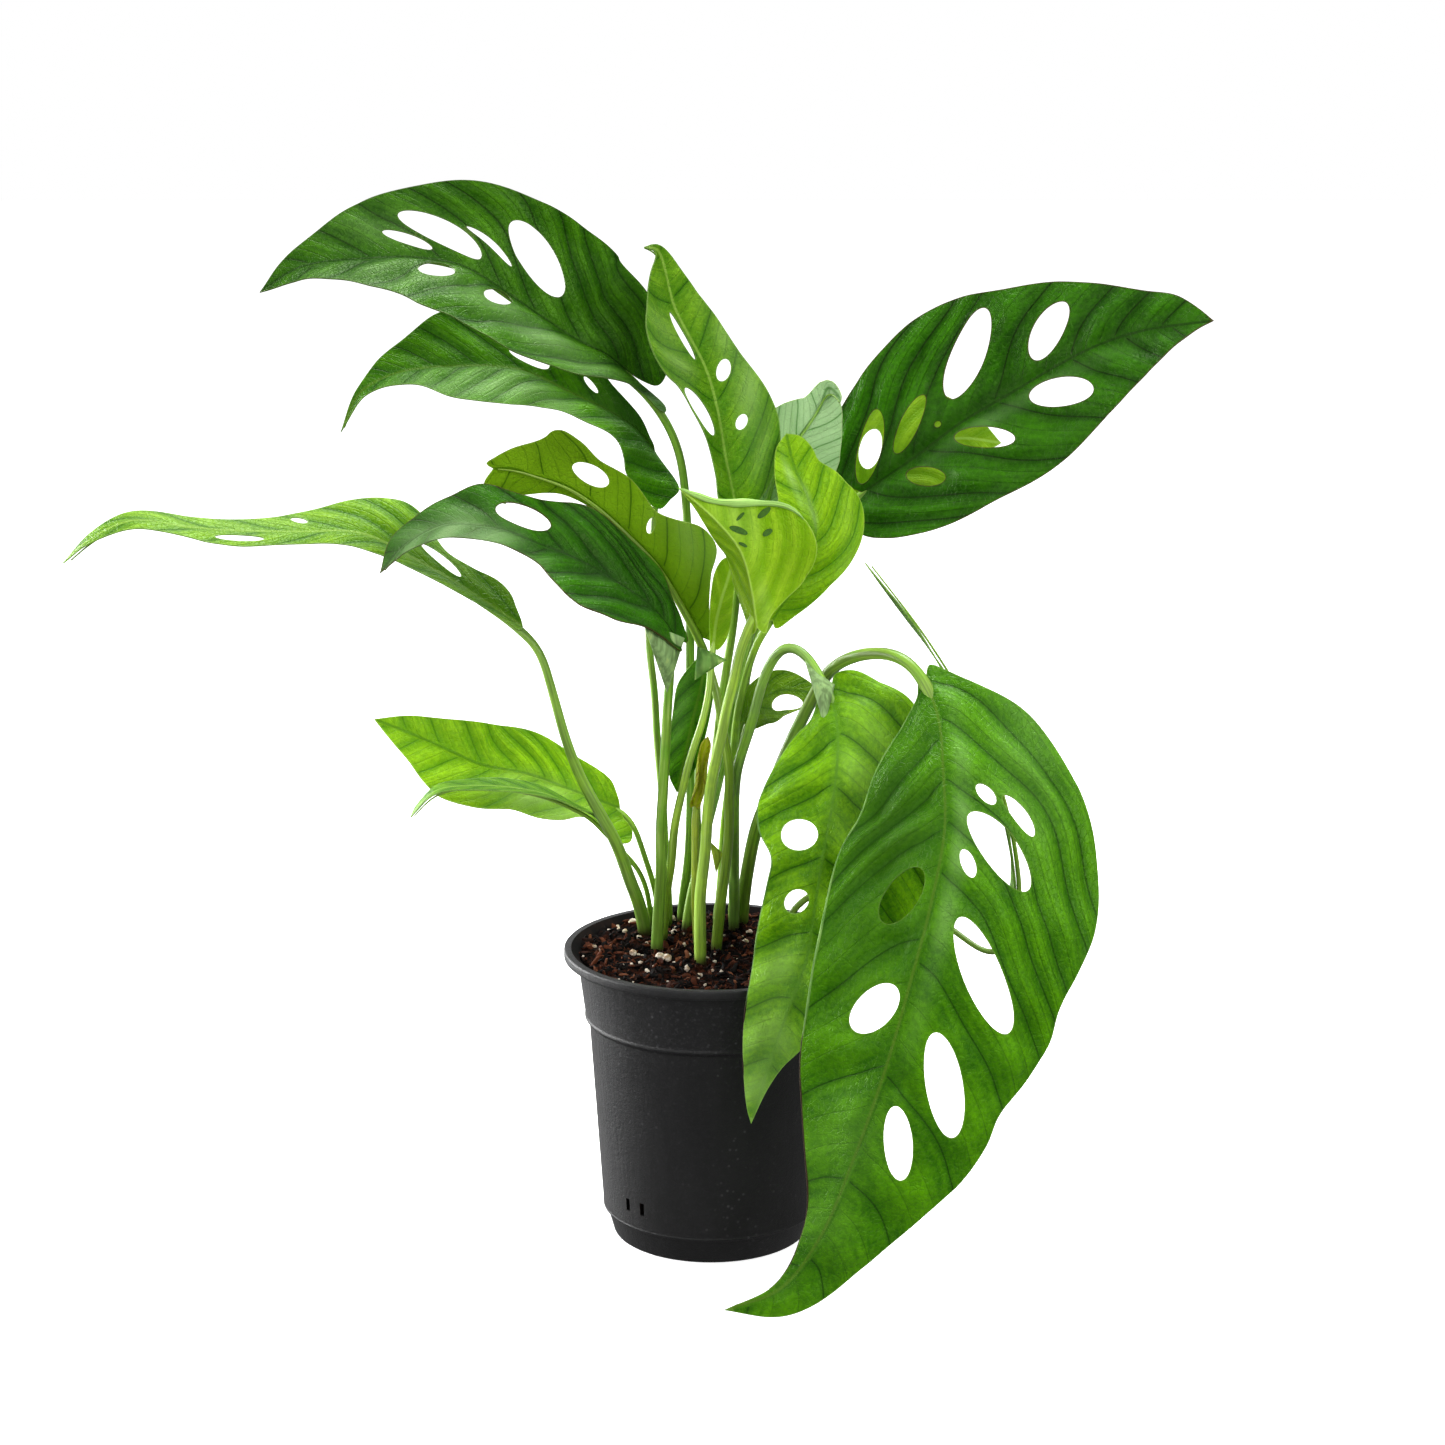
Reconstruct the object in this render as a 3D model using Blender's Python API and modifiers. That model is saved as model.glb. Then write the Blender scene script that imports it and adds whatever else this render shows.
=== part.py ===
"""A swiss cheese vine in a nursery pot: twenty holed leaves on their stalks, soil and the pot.

Metres, +Z up. The origin is the centre of the pot's flat base, and the plant leans to both sides along X.
A leaf is a flat pattern (its two edges and its holes) laid on a surface that follows the leaf's rib.
"""
import math
import random

import bmesh
import bpy
import numpy as np
from mathutils import Vector
from mathutils.geometry import delaunay_2d_cdt

MM = 0.001
GAP = 0.0004

# Pot, in mm: radii at the levels of its steps
POT_HEIGHT = 115.0
LIP_RADIUS = 56.5
LIP_DEPTH = 3.6
BAND_TOP_RADIUS = 52.0
BAND_LOW_RADIUS = 48.4
BAND_LOW = 87.0
WALL_TOP_RADIUS = 47.0
WALL_LOW_RADIUS = 42.0
FOOT_HEIGHT = 10.0
FOOT_TOP_RADIUS = 40.8
FOOT_RADIUS = 38.0
WALL = 1.2
FLOOR = 2.0
LIP_ROUNDING = 1.0
LIP_INNER_WIDTH = 2.6
BAND_STEP = 0.4
BAND_UNDERCUT = 0.6
FOOT_STEP = 0.8
POT_STEPS = 40
DRAIN_HOLES = 6
DRAIN_RADIUS = 3.5
DRAIN_RING = 26.0

# Soil, in mm
SOIL_LEVEL = 110.5
SOIL_RELIEF = 1.1
SOIL_STEPS = 30
SOIL_RINGS = 5
SOIL_DROP_AT_WALL = 0.8
SOIL_CLEARANCE = 0.5
SOIL_FOOT_CLEARANCE = 2.0
SOIL_BASE_CLEARANCE = 0.35
ROOT_DEPTH = 12.0
ROOT_REACH_ABOVE = 14.0
GRAIN_COUNT = 22
GRAIN_RADII = (0.9, 2.2)
GRAIN_FIELD = 44.0
GRAIN_TO_STALK = 4.0
GRAIN_SHOWING = 0.2
GRAIN_SEED = 7

# Leaves, in mm
BLADE_THICKNESS = 0.8
BLADE_MESH = (5.5, 9.5)
BLADE_ROWS = 18
TUBE_SIDES = 6
STALK_RING = 15.0
RIB_SHARE = 0.2
RIB_END_RADIUS = 0.7
RIB_MARKS = (1.0, 0.5, 0.15)
RIB_SINK = 0.6
SIDE_LAG = 1.3

# A side of a blade: half width that its curl is spread over, fold and curl in degrees at base and tip,
# and its edge as (along the rib, away from the rib). A hole: along, across (left side negative),
# length, width and slant from the rib. A wave: height, number along the rib and start.
LEAVES = {
    "leaf_top_left": dict(
        rib=[(-30, 12, 334), (-38, 9, 341), (-49, 6, 347), (-62, 2, 356), (-77, -2, 367),
             (-90, -5, 375), (-106, -6, 378), (-122, -8, 378), (-148, -10, 375), (-163, -12, 366)],
        face=[(0.1, -0.6, 0.8), (0, -0.6, 0.8)], wave=(1.5, 3, 0),
        right=dict(bend=(38, 30, 20, 20, 20),
                   edge=[(-6, 0.8), (-12, 3), (-12.5, 8), (-7, 16), (2, 21), (14, 30), (32, 37),
                         (47, 37), (65, 34), (83, 31), (97, 26), (116, 19), (133, 8)]),
        left=dict(bend=(34, 20, 10, -10, -20),
                  edge=[(-6, 0.8), (-13, 1), (-18, 4), (-18, 8), (-14, 10), (-8, 8), (-1, 8), (15, 20),
                        (33, 26), (51, 32), (69, 31), (90, 28), (99, 24), (116, 14), (140, 6)]),
        holes=[(52, 17, 32, 13, 22), (84, 11, 30, 9, 22), (95, 7, 18, 4, 20), (68, 12, 19, 2.4, 17),
               (84, -7, 14, 9, 10), (59, -7, 14, 8, 45)],
        stalk=[(-26, 12, 328), (-21, 14, 322), (-16, 16, 314), (-12, 18, 304), (-10, 20, 292),
               (-9, 22, 277), (-8, 24, 257), (-8, 27, 229), (-8, 30, 205), (-8, 32, 180), (-8, 34, 160),
               (-9, 37, 138), (-11, 40, 123), (-12, 43, 111)],
        radius=(1.5, 2)),
    "leaf_second_left": dict(
        rib=[(-21, 30, 302), (-27, 27, 310), (-36, 24, 317), (-51, 20, 325), (-71, 14, 335),
             (-93, 8, 337), (-115, 4, 335), (-129, 2, 328), (-137, 2, 313)],
        face=[(0.1, -0.6, 0.8), (0, -0.6, 0.8)], wave=(1.5, 3, 0.3),
        right=dict(bend=(27, 30, 20, 10, 10),
                   edge=[(2, 1), (7, 2), (13, 4.5), (28, 10), (43, 20), (62, 25), (80, 23), (93, 20),
                         (105, 12), (113, 8), (123, 2.5)]),
        left=dict(bend=(28, 15, 10, -70, -20),
                  edge=[(-6, 0.8), (-13, 1.5), (-17, 4), (-16, 11), (-15, 17), (-8, 19), (0, 19),
                        (11, 16), (20, 11.5), (33, 12), (43, 12), (53, 15), (69, 19), (82, 19),
                        (92, 16), (101, 10), (113, 6), (125, 3)]),
        holes=[(60, 6, 15, 6, 9), (35, 6, 8, 2.4, 26)],
        stalk=[(-20, 32, 298), (-21, 33, 287), (-22, 33, 271), (-23, 33, 255), (-24, 33, 240),
               (-24, 33, 226), (-22, 33, 208), (-21, 33, 188), (-19, 34, 164), (-18, 36, 139),
               (-17, 38, 122), (-17, 39, 111)],
        radius=(1.3, 1.7)),
    "leaf_top_centre": dict(
        rib=[(10, 2, 283), (6, 3, 302), (2, 5, 324), (-2, 5, 337), (-13, 2, 359), (-19, -2, 380),
             (-24, -8, 382)],
        face=[(0.3, -0.9, 0.2), (0.3, -0.9, 0.2)], wave=(1, 3, 0.1),
        right=dict(bend=(22, 20, 10, 10, 10),
                   edge=[(-2, 3), (2, 8), (8, 14), (18, 20), (31, 22), (43, 19), (56, 14), (72, 12),
                         (86, 9), (96, 5), (104, 2)]),
        left=dict(bend=(21, 25, 20, 10, 20),
                  edge=[(-1, 4), (5, 8), (16, 7), (28, 8), (41, 13), (54, 17), (66, 22), (77, 21),
                        (86, 13), (97, 7), (103, 2)]),
        holes=[(70, -3, 20, 3, 1), (41, -9, 24, 6, 24), (52, 6, 8, 5, 39), (33, 8, 6, 4, 36)],
        stalk=[(11, 5, 270), (10, 8, 253), (8, 12, 234), (6, 14, 221), (4, 17, 206), (2, 20, 187),
               (0, 23, 167), (-3, 27, 145), (-7, 30, 130), (-10, 32, 111)],
        radius=(1.5, 2)),
    "leaf_top_right": dict(
        rib=[(58, 36, 285), (77, 31, 299), (94, 26, 313), (111, 22, 324), (139, 12, 342), (158, 5, 350),
             (184, -4, 355)],
        face=[(0, -0.9, 0.45), (0, -0.9, 0.45)], wave=(1.5, 3, 0.5),
        right=dict(bend=(36, 10, 5, -10, -20),
                   edge=[(-9, 5), (-8, 14), (0, 21), (11, 26), (24, 30), (42, 33), (64, 34), (83, 32),
                         (100, 27), (116, 21), (128, 15), (139, 7), (147, 2)]),
        left=dict(bend=(43, 20, 10, -10, -20),
                  edge=[(-3, 6), (-3, 17), (4, 27), (15, 33), (40, 40), (52, 43), (70, 41), (86, 35),
                        (99, 30), (112, 23), (127, 15), (139, 11), (147, 5)]),
        holes=[(13, -13, 30, 9, 41), (31, -11, 25, 7, 26), (63, -21, 36, 13, 38), (93, -13, 23, 11, 36),
               (88, 10, 27, 11, 22), (53, 10, 25, 8, 32), (25, 9, 16, 7, 41)],
        stalk=[(43, 35, 270), (30, 33, 252), (20, 31, 237), (15, 30, 223), (12, 30, 199), (10, 32, 180),
               (8, 34, 160), (6, 37, 138), (4, 39, 123), (2, 41, 111)],
        radius=(1.6, 2)),
    "leaf_back_pale": dict(
        rib=[(20, 15, 280), (25, 17, 297), (34, 18, 310), (41, 18, 320), (44, 16, 328), (48, 12, 325),
             (48, 10, 322)],
        face=[(0.1, 0.95, 0.3), (0.1, 0.95, 0.3)], wave=(0.8, 2, 0.1),
        right=dict(bend=(18, 0, 0, 0, 0),
                   edge=[(-3, 3), (2, 9), (12, 15), (26, 17), (38, 13), (48, 7), (56, 3)]),
        left=dict(bend=(22, 0, 0, 10, 10),
                  edge=[(-3, 3), (2, 11), (12, 19), (26, 21), (38, 16), (48, 8), (56, 3)]),
        holes=[],
        stalk=[(19, 18, 260), (16, 20, 235), (11, 22, 215), (7, 25, 194), (3, 28, 171), (-2, 31, 150),
               (-4, 34, 135), (-4, 36, 122), (-4, 39, 111)],
        radius=(1.2, 1.6)),
    "leaf_behind_right": dict(
        rib=[(54, 52, 279), (66, 54, 291), (81, 56, 300), (97, 57, 303), (113, 58, 301)],
        face=[(0, -0.9, 0.45), (0, -0.9, 0.45)], wave=(0.8, 2, 0.5),
        right=dict(bend=(20, 10, 5, -10, -10),
                   edge=[(-3, 4), (3, 12), (15, 19), (32, 20), (48, 14), (60, 6)]),
        left=dict(bend=(24, 10, 5, -10, -10),
                  edge=[(-3, 4), (2, 12), (12, 20), (28, 25), (42, 21), (55, 11)]),
        holes=[(19, -9, 15, 8, 45)],
        stalk=[(44, 52, 261), (32, 50, 250), (22, 48, 237), (18, 46, 227), (15, 45, 215), (13, 44, 204),
               (11, 43, 190), (10, 42, 170), (9, 42, 149), (9, 43, 128), (8, 44, 111)],
        radius=(1.2, 1.6)),
    "leaf_young_front": dict(
        rib=[(17, -36, 247), (15, -38, 261), (11, -41, 276), (2, -44, 288), (-11, -46, 300)],
        face=[(0.2, -0.9, 0.4), (-0.1, -0.9, 0.4)], wave=(0.8, 3, 0),
        right=dict(bend=(33, -10, 0, 20, 60),
                   edge=[(-3, 3), (3, 6), (8, 12), (14, 21), (25, 27), (32, 25), (40, 15), (50, 5),
                         (57, 2)]),
        left=dict(bend=(20, -70, -70, -10, -10),
                  edge=[(-3, 3), (5, 8), (15, 12), (30, 12), (45, 8), (55, 3)]),
        holes=[],
        stalk=[(17, -34, 253), (14, -33, 246), (11, -31, 238), (9, -29, 227), (6, -27, 215),
               (4, -25, 203), (1, -23, 190), (-1, -21, 174), (-2, -18, 157), (-4, -15, 139),
               (-4, -12, 125), (-4, -10, 111)],
        radius=(1.8, 2.4)),
    "leaf_young_back": dict(
        rib=[(23, -12, 245), (34, -9, 262), (39, -6, 277), (36, -4, 290), (31, -2, 301), (28, 0, 313)],
        face=[(0.3, -0.9, 0.3), (-0.1, -0.9, 0.4)], wave=(0.8, 2, 0),
        right=dict(bend=(22, -10, -10, -20, -20),
                   edge=[(-2, 3), (7, 7), (20, 12), (31, 17), (42, 21), (52, 16), (63, 8), (70, 4)]),
        left=dict(bend=(24, 10, 10, 20, 20),
                  edge=[(-2, 3), (6, 8), (20, 14), (38, 16), (55, 11), (66, 5)]),
        holes=[],
        stalk=[(21, -10, 242), (18, -8, 237), (16, -5, 231), (14, -1, 224), (12, 4, 214), (10, 8, 204),
               (9, 11, 192), (7, 14, 175), (5, 18, 156), (4, 22, 135), (2, 25, 111)],
        radius=(1.4, 1.7)),
    "leaf_mid_left": dict(
        rib=[(-12, -14, 238), (-21, -18, 251), (-35, -22, 262), (-47, -26, 270), (-62, -30, 277),
             (-76, -33, 283), (-96, -36, 285), (-110, -38, 278), (-119, -40, 268)],
        face=[(0.1, -0.4, 0.9), (0, -0.4, 0.9)], wave=(1.5, 3, 0.2),
        right=dict(bend=(28, 20, 20, 0, 0),
                   edge=[(-4, 3), (4, 7), (12, 10), (20, 17), (35, 21), (53, 24), (66, 21), (78, 18),
                         (90, 18), (100, 12), (110, 8), (120, 6)]),
        left=dict(bend=(26, 10, 0, -20, -20),
                  edge=[(-3, 4), (8, 10), (20, 16), (35, 25), (48, 26), (60, 19), (68, 12), (81, 10),
                        (94, 9), (108, 7), (122, 3)]),
        holes=[(74, 9, 21, 10, -5)],
        stalk=[(-15, -12, 227), (-16, -10, 214), (-17, -7, 196), (-18, -5, 178), (-19, -3, 162),
               (-19, 0, 145), (-20, 3, 130), (-21, 6, 111)],
        radius=(1.7, 2.5)),
    "leaf_mid_turned": dict(
        rib=[(-3, 5, 235), (-8, 4, 244), (-13, 3, 253), (-19, 2, 263), (-25, 1, 270), (-31, 0, 276),
             (-38, -1, 283), (-48, -3, 291), (-55, -4, 295), (-65, -5, 298), (-73, -6, 301),
             (-80, -7, 301)],
        face=[(0.1, 0.9, 0.3), (0, 0.9, 0.2)], wave=(1, 3, 0.2),
        right=dict(bend=(22, 40, 0, 10, 10),
                   edge=[(0, 1.5), (10, 2.5), (30, 2.5), (51, 2.2), (68, 2.8), (82, 5), (89, 7),
                         (94, 10), (98, 14), (103, 15), (109, 12), (111, 6)]),
        left=dict(bend=(24, 0, 0, 10, 10),
                  edge=[(-3, 3), (9, 8), (20, 15), (28, 22), (34, 22), (40, 18), (48, 14), (63, 16),
                        (75, 15), (81, 18), (86, 20), (91, 18), (102, 7), (110, 2)]),
        holes=[(74, -8.5, 13, 7.5, -3), (46, -8.5, 7, 3, 63)],
        stalk=[(-2, 4, 229), (-1, 2, 225), (1, -2, 220), (3, -4, 212), (5, -5, 199), (7, -5, 188),
               (7, -4, 174), (7, -3, 162), (6, -1, 149), (4, 1, 133), (2, 5, 111)],
        radius=(1.5, 2.2)),
    "leaf_far_left": dict(
        rib=[(-69, -18, 244), (-89, -15, 257), (-107, -11, 267), (-129, -12, 278), (-151, -15, 279),
             (-173, -19, 280), (-190, -23, 282), (-210, -27, 285), (-226, -30, 278), (-235, -31, 270)],
        face=[(0.3, -0.5, 0.85), (0.15, -0.4, 0.9), (0.05, -0.1, 1), (0, 0, 1)], wave=(1.5, 3, 0.2),
        right=dict(bend=(24, 10, 10, 0, 0),
                   edge=[(1, 1), (6, 5), (11, 9), (18, 11), (28, 10), (39, 10), (44, 13), (50, 19),
                         (58, 22), (66, 20), (80, 15), (93, 12), (105, 9), (125, 8), (145, 9), (160, 8),
                         (175, 3)]),
        left=dict(bend=(24, 0, -25, -10, -20),
                  edge=[(0, 3), (10, 3), (24, 4), (38, 5), (52, 6), (66, 8), (85, 7), (100, 8),
                        (114, 10), (124, 9), (135, 6), (155, 5), (172, 2)]),
        holes=[(39, 5.5, 19, 4, 14), (92, 7, 7, 3.5, 28), (114, -5, 18, 4, 0)],
        stalk=[(-64, -18, 236), (-59, -17, 220), (-54, -15, 200), (-49, -12, 185), (-42, -11, 171),
               (-36, -4, 157), (-31, 8, 138), (-28, 18, 126), (-26, 27, 111)],
        radius=(1.4, 2.9)),
    "leaf_low_left": dict(
        rib=[(-35, 17, 165), (-54, 15, 173), (-71, 13, 180), (-88, 11, 184), (-102, 9, 191),
             (-114, 7, 197), (-128, 6, 203)],
        face=[(0.1, -0.8, 0.6), (0, -0.8, 0.6)], wave=(1.2, 3, 0.2),
        right=dict(bend=(20, 10, 10, 0, 0),
                   edge=[(1, 2), (4, 6), (7, 9), (14, 11.5), (28, 14), (45, 17), (60, 16), (75, 11),
                         (90, 6)]),
        left=dict(bend=(22, 0, 0, 0, 0),
                  edge=[(-2, 3), (-7, 7), (-7.5, 12), (-2, 14), (4, 10), (13, 9), (20, 13), (29, 16),
                        (44, 16), (56, 18), (67, 19), (75, 16), (83, 11), (92, 6)]),
        holes=[],
        stalk=[(-32, 16, 162), (-29, 15, 157), (-26, 15, 147), (-23, 17, 137), (-21, 20, 127),
               (-21, 25, 111)],
        radius=(1, 1.3)),
    "leaf_low_sliver": dict(
        rib=[(-40, 0, 161), (-44, -2, 167), (-51, -7, 172), (-61, -12, 178), (-76, -16, 182),
             (-90, -18, 183), (-102, -21, 182), (-109, -22, 176), (-112, -23, 172)],
        face=[(0.1, -0.05, 1), (0, -0.05, 1)], wave=(0.5, 2, 0.2),
        right=dict(bend=(12, 5, 5, 0, 0), edge=[(-1, 1.5), (8, 4), (25, 8), (45, 8), (65, 6), (80, 3)]),
        left=dict(bend=(12, 5, 5, 0, 0), edge=[(-1, 1.5), (8, 4), (25, 8), (45, 8), (65, 6), (80, 3)]),
        holes=[],
        stalk=[(-38, 1, 157), (-33, 5, 150), (-28, 11, 142), (-25, 19, 131), (-24, 28, 120),
               (-23, 35, 111)],
        radius=(0.9, 1.2)),
    "leaf_big_front": dict(
        rib=[(77, -60, 233), (81, -72, 221), (82, -84, 205), (82, -94, 187), (77, -104, 163),
             (70, -110, 137), (62, -112, 107), (51, -109, 71), (39, -104, 38), (25, -100, 17),
             (5, -96, 7)],
        face=[(0.05, -0.95, 0.3), (0, -1, 0)], wave=(2, 3, 0),
        right=dict(bend=(48, -30, -20, 10, 10),
                   edge=[(-3, 2), (4, 5), (12, 13), (35, 26), (56, 33), (76, 37), (111, 36), (138, 33),
                         (156, 30), (175, 23), (193, 15), (208, 9), (225, 5), (245, 2)]),
        left=dict(bend=(56, -5, 5, -20, -20),
                  edge=[(-6, 3), (-2, 9), (8, 20), (20, 37), (32, 47), (46, 53), (70, 62), (84, 62),
                        (96, 59), (109, 56), (124, 56), (137, 52), (153, 45), (164, 44), (178, 40),
                        (198, 30), (217, 20), (238, 13), (250, 8)]),
        holes=[(45, -15, 9, 5, 46), (51, -27, 16, 5, 47), (62, -21, 32, 12, 52), (68, -10, 10, 5, 34),
               (105, -25, 46, 14, 38), (84, 11, 24, 12, 22), (126, 10, 23, 13, 29),
               (146, -22, 40, 13, 27), (171, -13, 29, 10, 23)],
        stalk=[(73, -57, 237), (67, -51, 240), (59, -42, 239), (51, -32, 235), (44, -22, 228),
               (37, -12, 213), (29, -6, 194), (23, 5, 175), (18, 15, 159), (15, 24, 142), (13, 33, 125),
               (12, 40, 111)],
        radius=(2.1, 2.8)),
    "leaf_hanging_pale": dict(
        rib=[(44, -34, 223), (46, -44, 214), (46, -52, 202), (44, -58, 186), (41, -61, 170),
             (38, -63, 150), (35, -64, 130), (27, -65, 107), (21, -66, 88), (15, -68, 68)],
        face=[(0, -0.95, 0.3), (0, -1, 0)], wave=(1.5, 3, 0),
        right=dict(bend=(32, -20, -10, -10, -10),
                   edge=[(-4, 3), (2, 6), (9, 10), (17, 17), (32, 24), (50, 28), (59, 26), (68, 19),
                         (78, 19), (101, 20), (118, 17), (136, 13), (151, 8), (163, 3)]),
        left=dict(bend=(34, 5, 5, -20, -20),
                  edge=[(-7, 3), (-7, 10), (2, 20), (12, 30), (26, 36), (45, 40), (67, 42), (86, 41),
                        (100, 35), (115, 25), (134, 10), (144, 5), (154, 2)]),
        holes=[(58, 10, 14, 11, 76), (82, 7, 10, 8, 43)],
        stalk=[(41, -32, 226), (38, -29, 232), (34, -26, 236), (30, -23, 238), (26, -20, 236),
               (24, -18, 233), (21, -16, 227), (18, -13, 217), (16, -9, 207), (13, -4, 196),
               (10, 0, 185), (9, 5, 171), (9, 11, 157), (9, 20, 137), (9, 27, 123), (9, 33, 111)],
        radius=(1.8, 2.2)),
    "leaf_edge_on": dict(
        rib=[(111, -20, 119), (114, -24, 138), (112, -28, 159), (107, -32, 181), (97, -36, 209),
             (78, -38, 242), (56, -36, 271)],
        face=[(-0.9, -0.05, 0.4), (-0.9, -0.05, 0.4)], wave=(0.5, 2, 0),
        right=dict(bend=(24, 0, 0, 0, 0),
                   edge=[(-4, 4), (2, 12), (18, 20), (45, 24), (80, 21), (115, 13), (145, 5)]),
        left=dict(bend=(24, 0, 0, 0, 0),
                  edge=[(-4, 4), (2, 12), (18, 20), (45, 24), (80, 21), (115, 13), (145, 5)]),
        holes=[(52, 10, 22, 8, 30), (52, -10, 22, 8, 30)],
        stalk=[(108, -18, 117), (101, -12, 118), (92, -4, 123), (75, 6, 131), (56, 16, 134),
               (40, 22, 129), (31, 25, 120), (29, 26, 111)],
        radius=(1.1, 1.5)),
    "leaf_small_inner": dict(
        rib=[(13, 14, 200), (18, 12, 208), (26, 10, 213), (35, 9, 213), (43, 8, 211)],
        face=[(0, -0.8, 0.6), (0, -0.8, 0.6)], wave=(0.5, 2, 0),
        right=dict(bend=(12, 0, 0, 10, 10), edge=[(-2, 2), (3, 7), (12, 11), (22, 11), (31, 6)]),
        left=dict(bend=(9, 0, 0, 10, 10), edge=[(-2, 2), (3, 5), (12, 8), (22, 8), (31, 4)]),
        holes=[(18, 5, 9, 5, 20)],
        stalk=[(12, 15, 192), (11, 16, 184), (9, 20, 167), (7, 25, 150), (5, 30, 132), (4, 35, 111)],
        radius=(0.9, 1.4)),
    "leaf_small_dark": dict(
        rib=[(-2, 10, 224), (-4, 8, 214), (-7, 6, 202), (-10, 6, 188), (-13, 6, 174)],
        face=[(0.2, -0.9, 0.2), (0.2, -0.9, 0.2)], wave=(0.5, 2, 0),
        right=dict(bend=(9, 0, 0, 0, 0), edge=[(-2, 2), (3, 6), (10, 9), (22, 8), (36, 6.5), (46, 4)]),
        left=dict(bend=(9, 0, 0, 10, 10), edge=[(-1, 1.5), (4, 4), (16, 6), (32, 6), (45, 4)]),
        holes=[],
        stalk=[(-2, 13, 226), (-3, 17, 220), (-4, 18, 211), (-5, 18, 196), (-5, 17, 180), (-5, 16, 160),
               (-4, 16, 144), (-4, 17, 128), (-5, 19, 111)],
        radius=(1.1, 1.5)),
    "leaf_rolled": dict(
        rib=[(-6, 2, 170), (-4, 1, 178), (-3, 0, 188), (-1, -1, 198)],
        face=[(0, -1, 0.2), (0, -1, 0.2)], wave=(0, 2, 0),
        right=dict(bend=(4, 0, 0, 120, 120), edge=[(-1, 1.5), (4, 4), (14, 5), (24, 3)]),
        left=dict(bend=(4, 0, 0, 120, 120), edge=[(-1, 1.5), (4, 4), (14, 5), (24, 3)]),
        holes=[],
        stalk=[(-6, 3, 164), (-6, 6, 151), (-6, 8, 139), (-6, 11, 126), (-5, 12, 111)],
        radius=(1.3, 2.0)),
    "leaf_inner_bright": dict(
        rib=[(1, -4, 233), (2, -4, 242), (4, -5, 251), (7, -6, 261), (9, -8, 269)],
        face=[(0, -1, 0.2), (0, -1, 0.2)], wave=(0, 2, 0),
        right=dict(bend=(8, 0, 0, 0, 0),
                   edge=[(-1, 1.5), (3, 4.5), (9, 5.5), (16, 5), (24, 3.5), (32, 2)]),
        left=dict(bend=(8, 0, 0, 0, 0),
                  edge=[(-1, 1), (4, 1.8), (12, 3), (20, 4.5), (28, 5.5), (34, 4)]),
        holes=[],
        stalk=[(0, -5, 228), (0, -7, 221), (-1, -9, 215), (-2, -10, 209), (-5, -11, 200),
               (-8, -11, 191), (-10, -10, 182), (-12, -8, 173), (-14, -4, 162), (-15, 2, 148),
               (-17, 8, 135), (-18, 13, 123), (-19, 18, 111)],
        radius=(1.3, 2)),
}

LEAF_COLOURS = {
    "dark": (0.03, 0.13, 0.015, 1),
    "mid": (0.07, 0.22, 0.03, 1),
    "young": (0.28, 0.50, 0.06, 1),
}
YOUNG = {"leaf_young_front", "leaf_young_back", "leaf_low_left", "leaf_low_sliver", "leaf_rolled",
         "leaf_inner_bright", "leaf_behind_right"}
DARK = {"leaf_top_right", "leaf_mid_left", "leaf_small_dark", "leaf_top_left"}


def clear_scene():
    for obj in list(bpy.data.objects):
        bpy.data.objects.remove(obj, do_unlink=True)


def new_collection(name):
    collection = bpy.data.collections.new(name)
    bpy.context.scene.collection.children.link(collection)
    return collection


def material(name, colour, roughness, metallic=0.0):
    mat = bpy.data.materials.new(name)
    mat.use_nodes = True
    shader = mat.node_tree.nodes["Principled BSDF"]
    shader.inputs["Base Color"].default_value = colour
    shader.inputs["Roughness"].default_value = roughness
    shader.inputs["Metallic"].default_value = metallic
    return mat


def object_from_bmesh(name, bm, collection):
    mesh = bpy.data.meshes.new(name)
    bm.to_mesh(mesh)
    bm.free()
    obj = bpy.data.objects.new(name, mesh)
    collection.objects.link(obj)
    return obj


def apply_modifiers(obj):
    """Give the object its evaluated mesh and drop its modifiers."""
    bpy.context.view_layer.update()
    evaluated = obj.evaluated_get(bpy.context.evaluated_depsgraph_get())
    mesh = bpy.data.meshes.new_from_object(evaluated)
    obj.modifiers.clear()
    obj.data = mesh


def boolean(obj, operation, other):
    """Join or cut an object with one object, or with all the objects of a collection, and remove those."""
    mod = obj.modifiers.new(operation.title(), "BOOLEAN")
    mod.operation = operation
    mod.solver = "EXACT"
    if isinstance(other, bpy.types.Collection):
        mod.operand_type = "COLLECTION"
        mod.collection = other
        used = list(other.objects)
    else:
        mod.object = other
        used = [other]
    apply_modifiers(obj)
    for item in used:
        bpy.data.objects.remove(item, do_unlink=True)


def drop_scraps(obj):
    """Keep the object's largest connected body, without the scraps that a cut left loose."""
    bm = bmesh.new()
    bm.from_mesh(obj.data)
    bodies = []
    unseen = set(bm.verts)
    while unseen:
        body = [unseen.pop()]
        for vert in body:
            for edge in vert.link_edges:
                other = edge.other_vert(vert)
                if other in unseen:
                    unseen.remove(other)
                    body.append(other)
        bodies.append(body)
    bodies.sort(key=len)
    for body in bodies[:-1]:
        bmesh.ops.delete(bm, geom=body, context="VERTS")
    bm.to_mesh(obj.data)
    bm.free()


def unit(vectors):
    return vectors / np.linalg.norm(vectors, axis=-1, keepdims=True)


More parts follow.
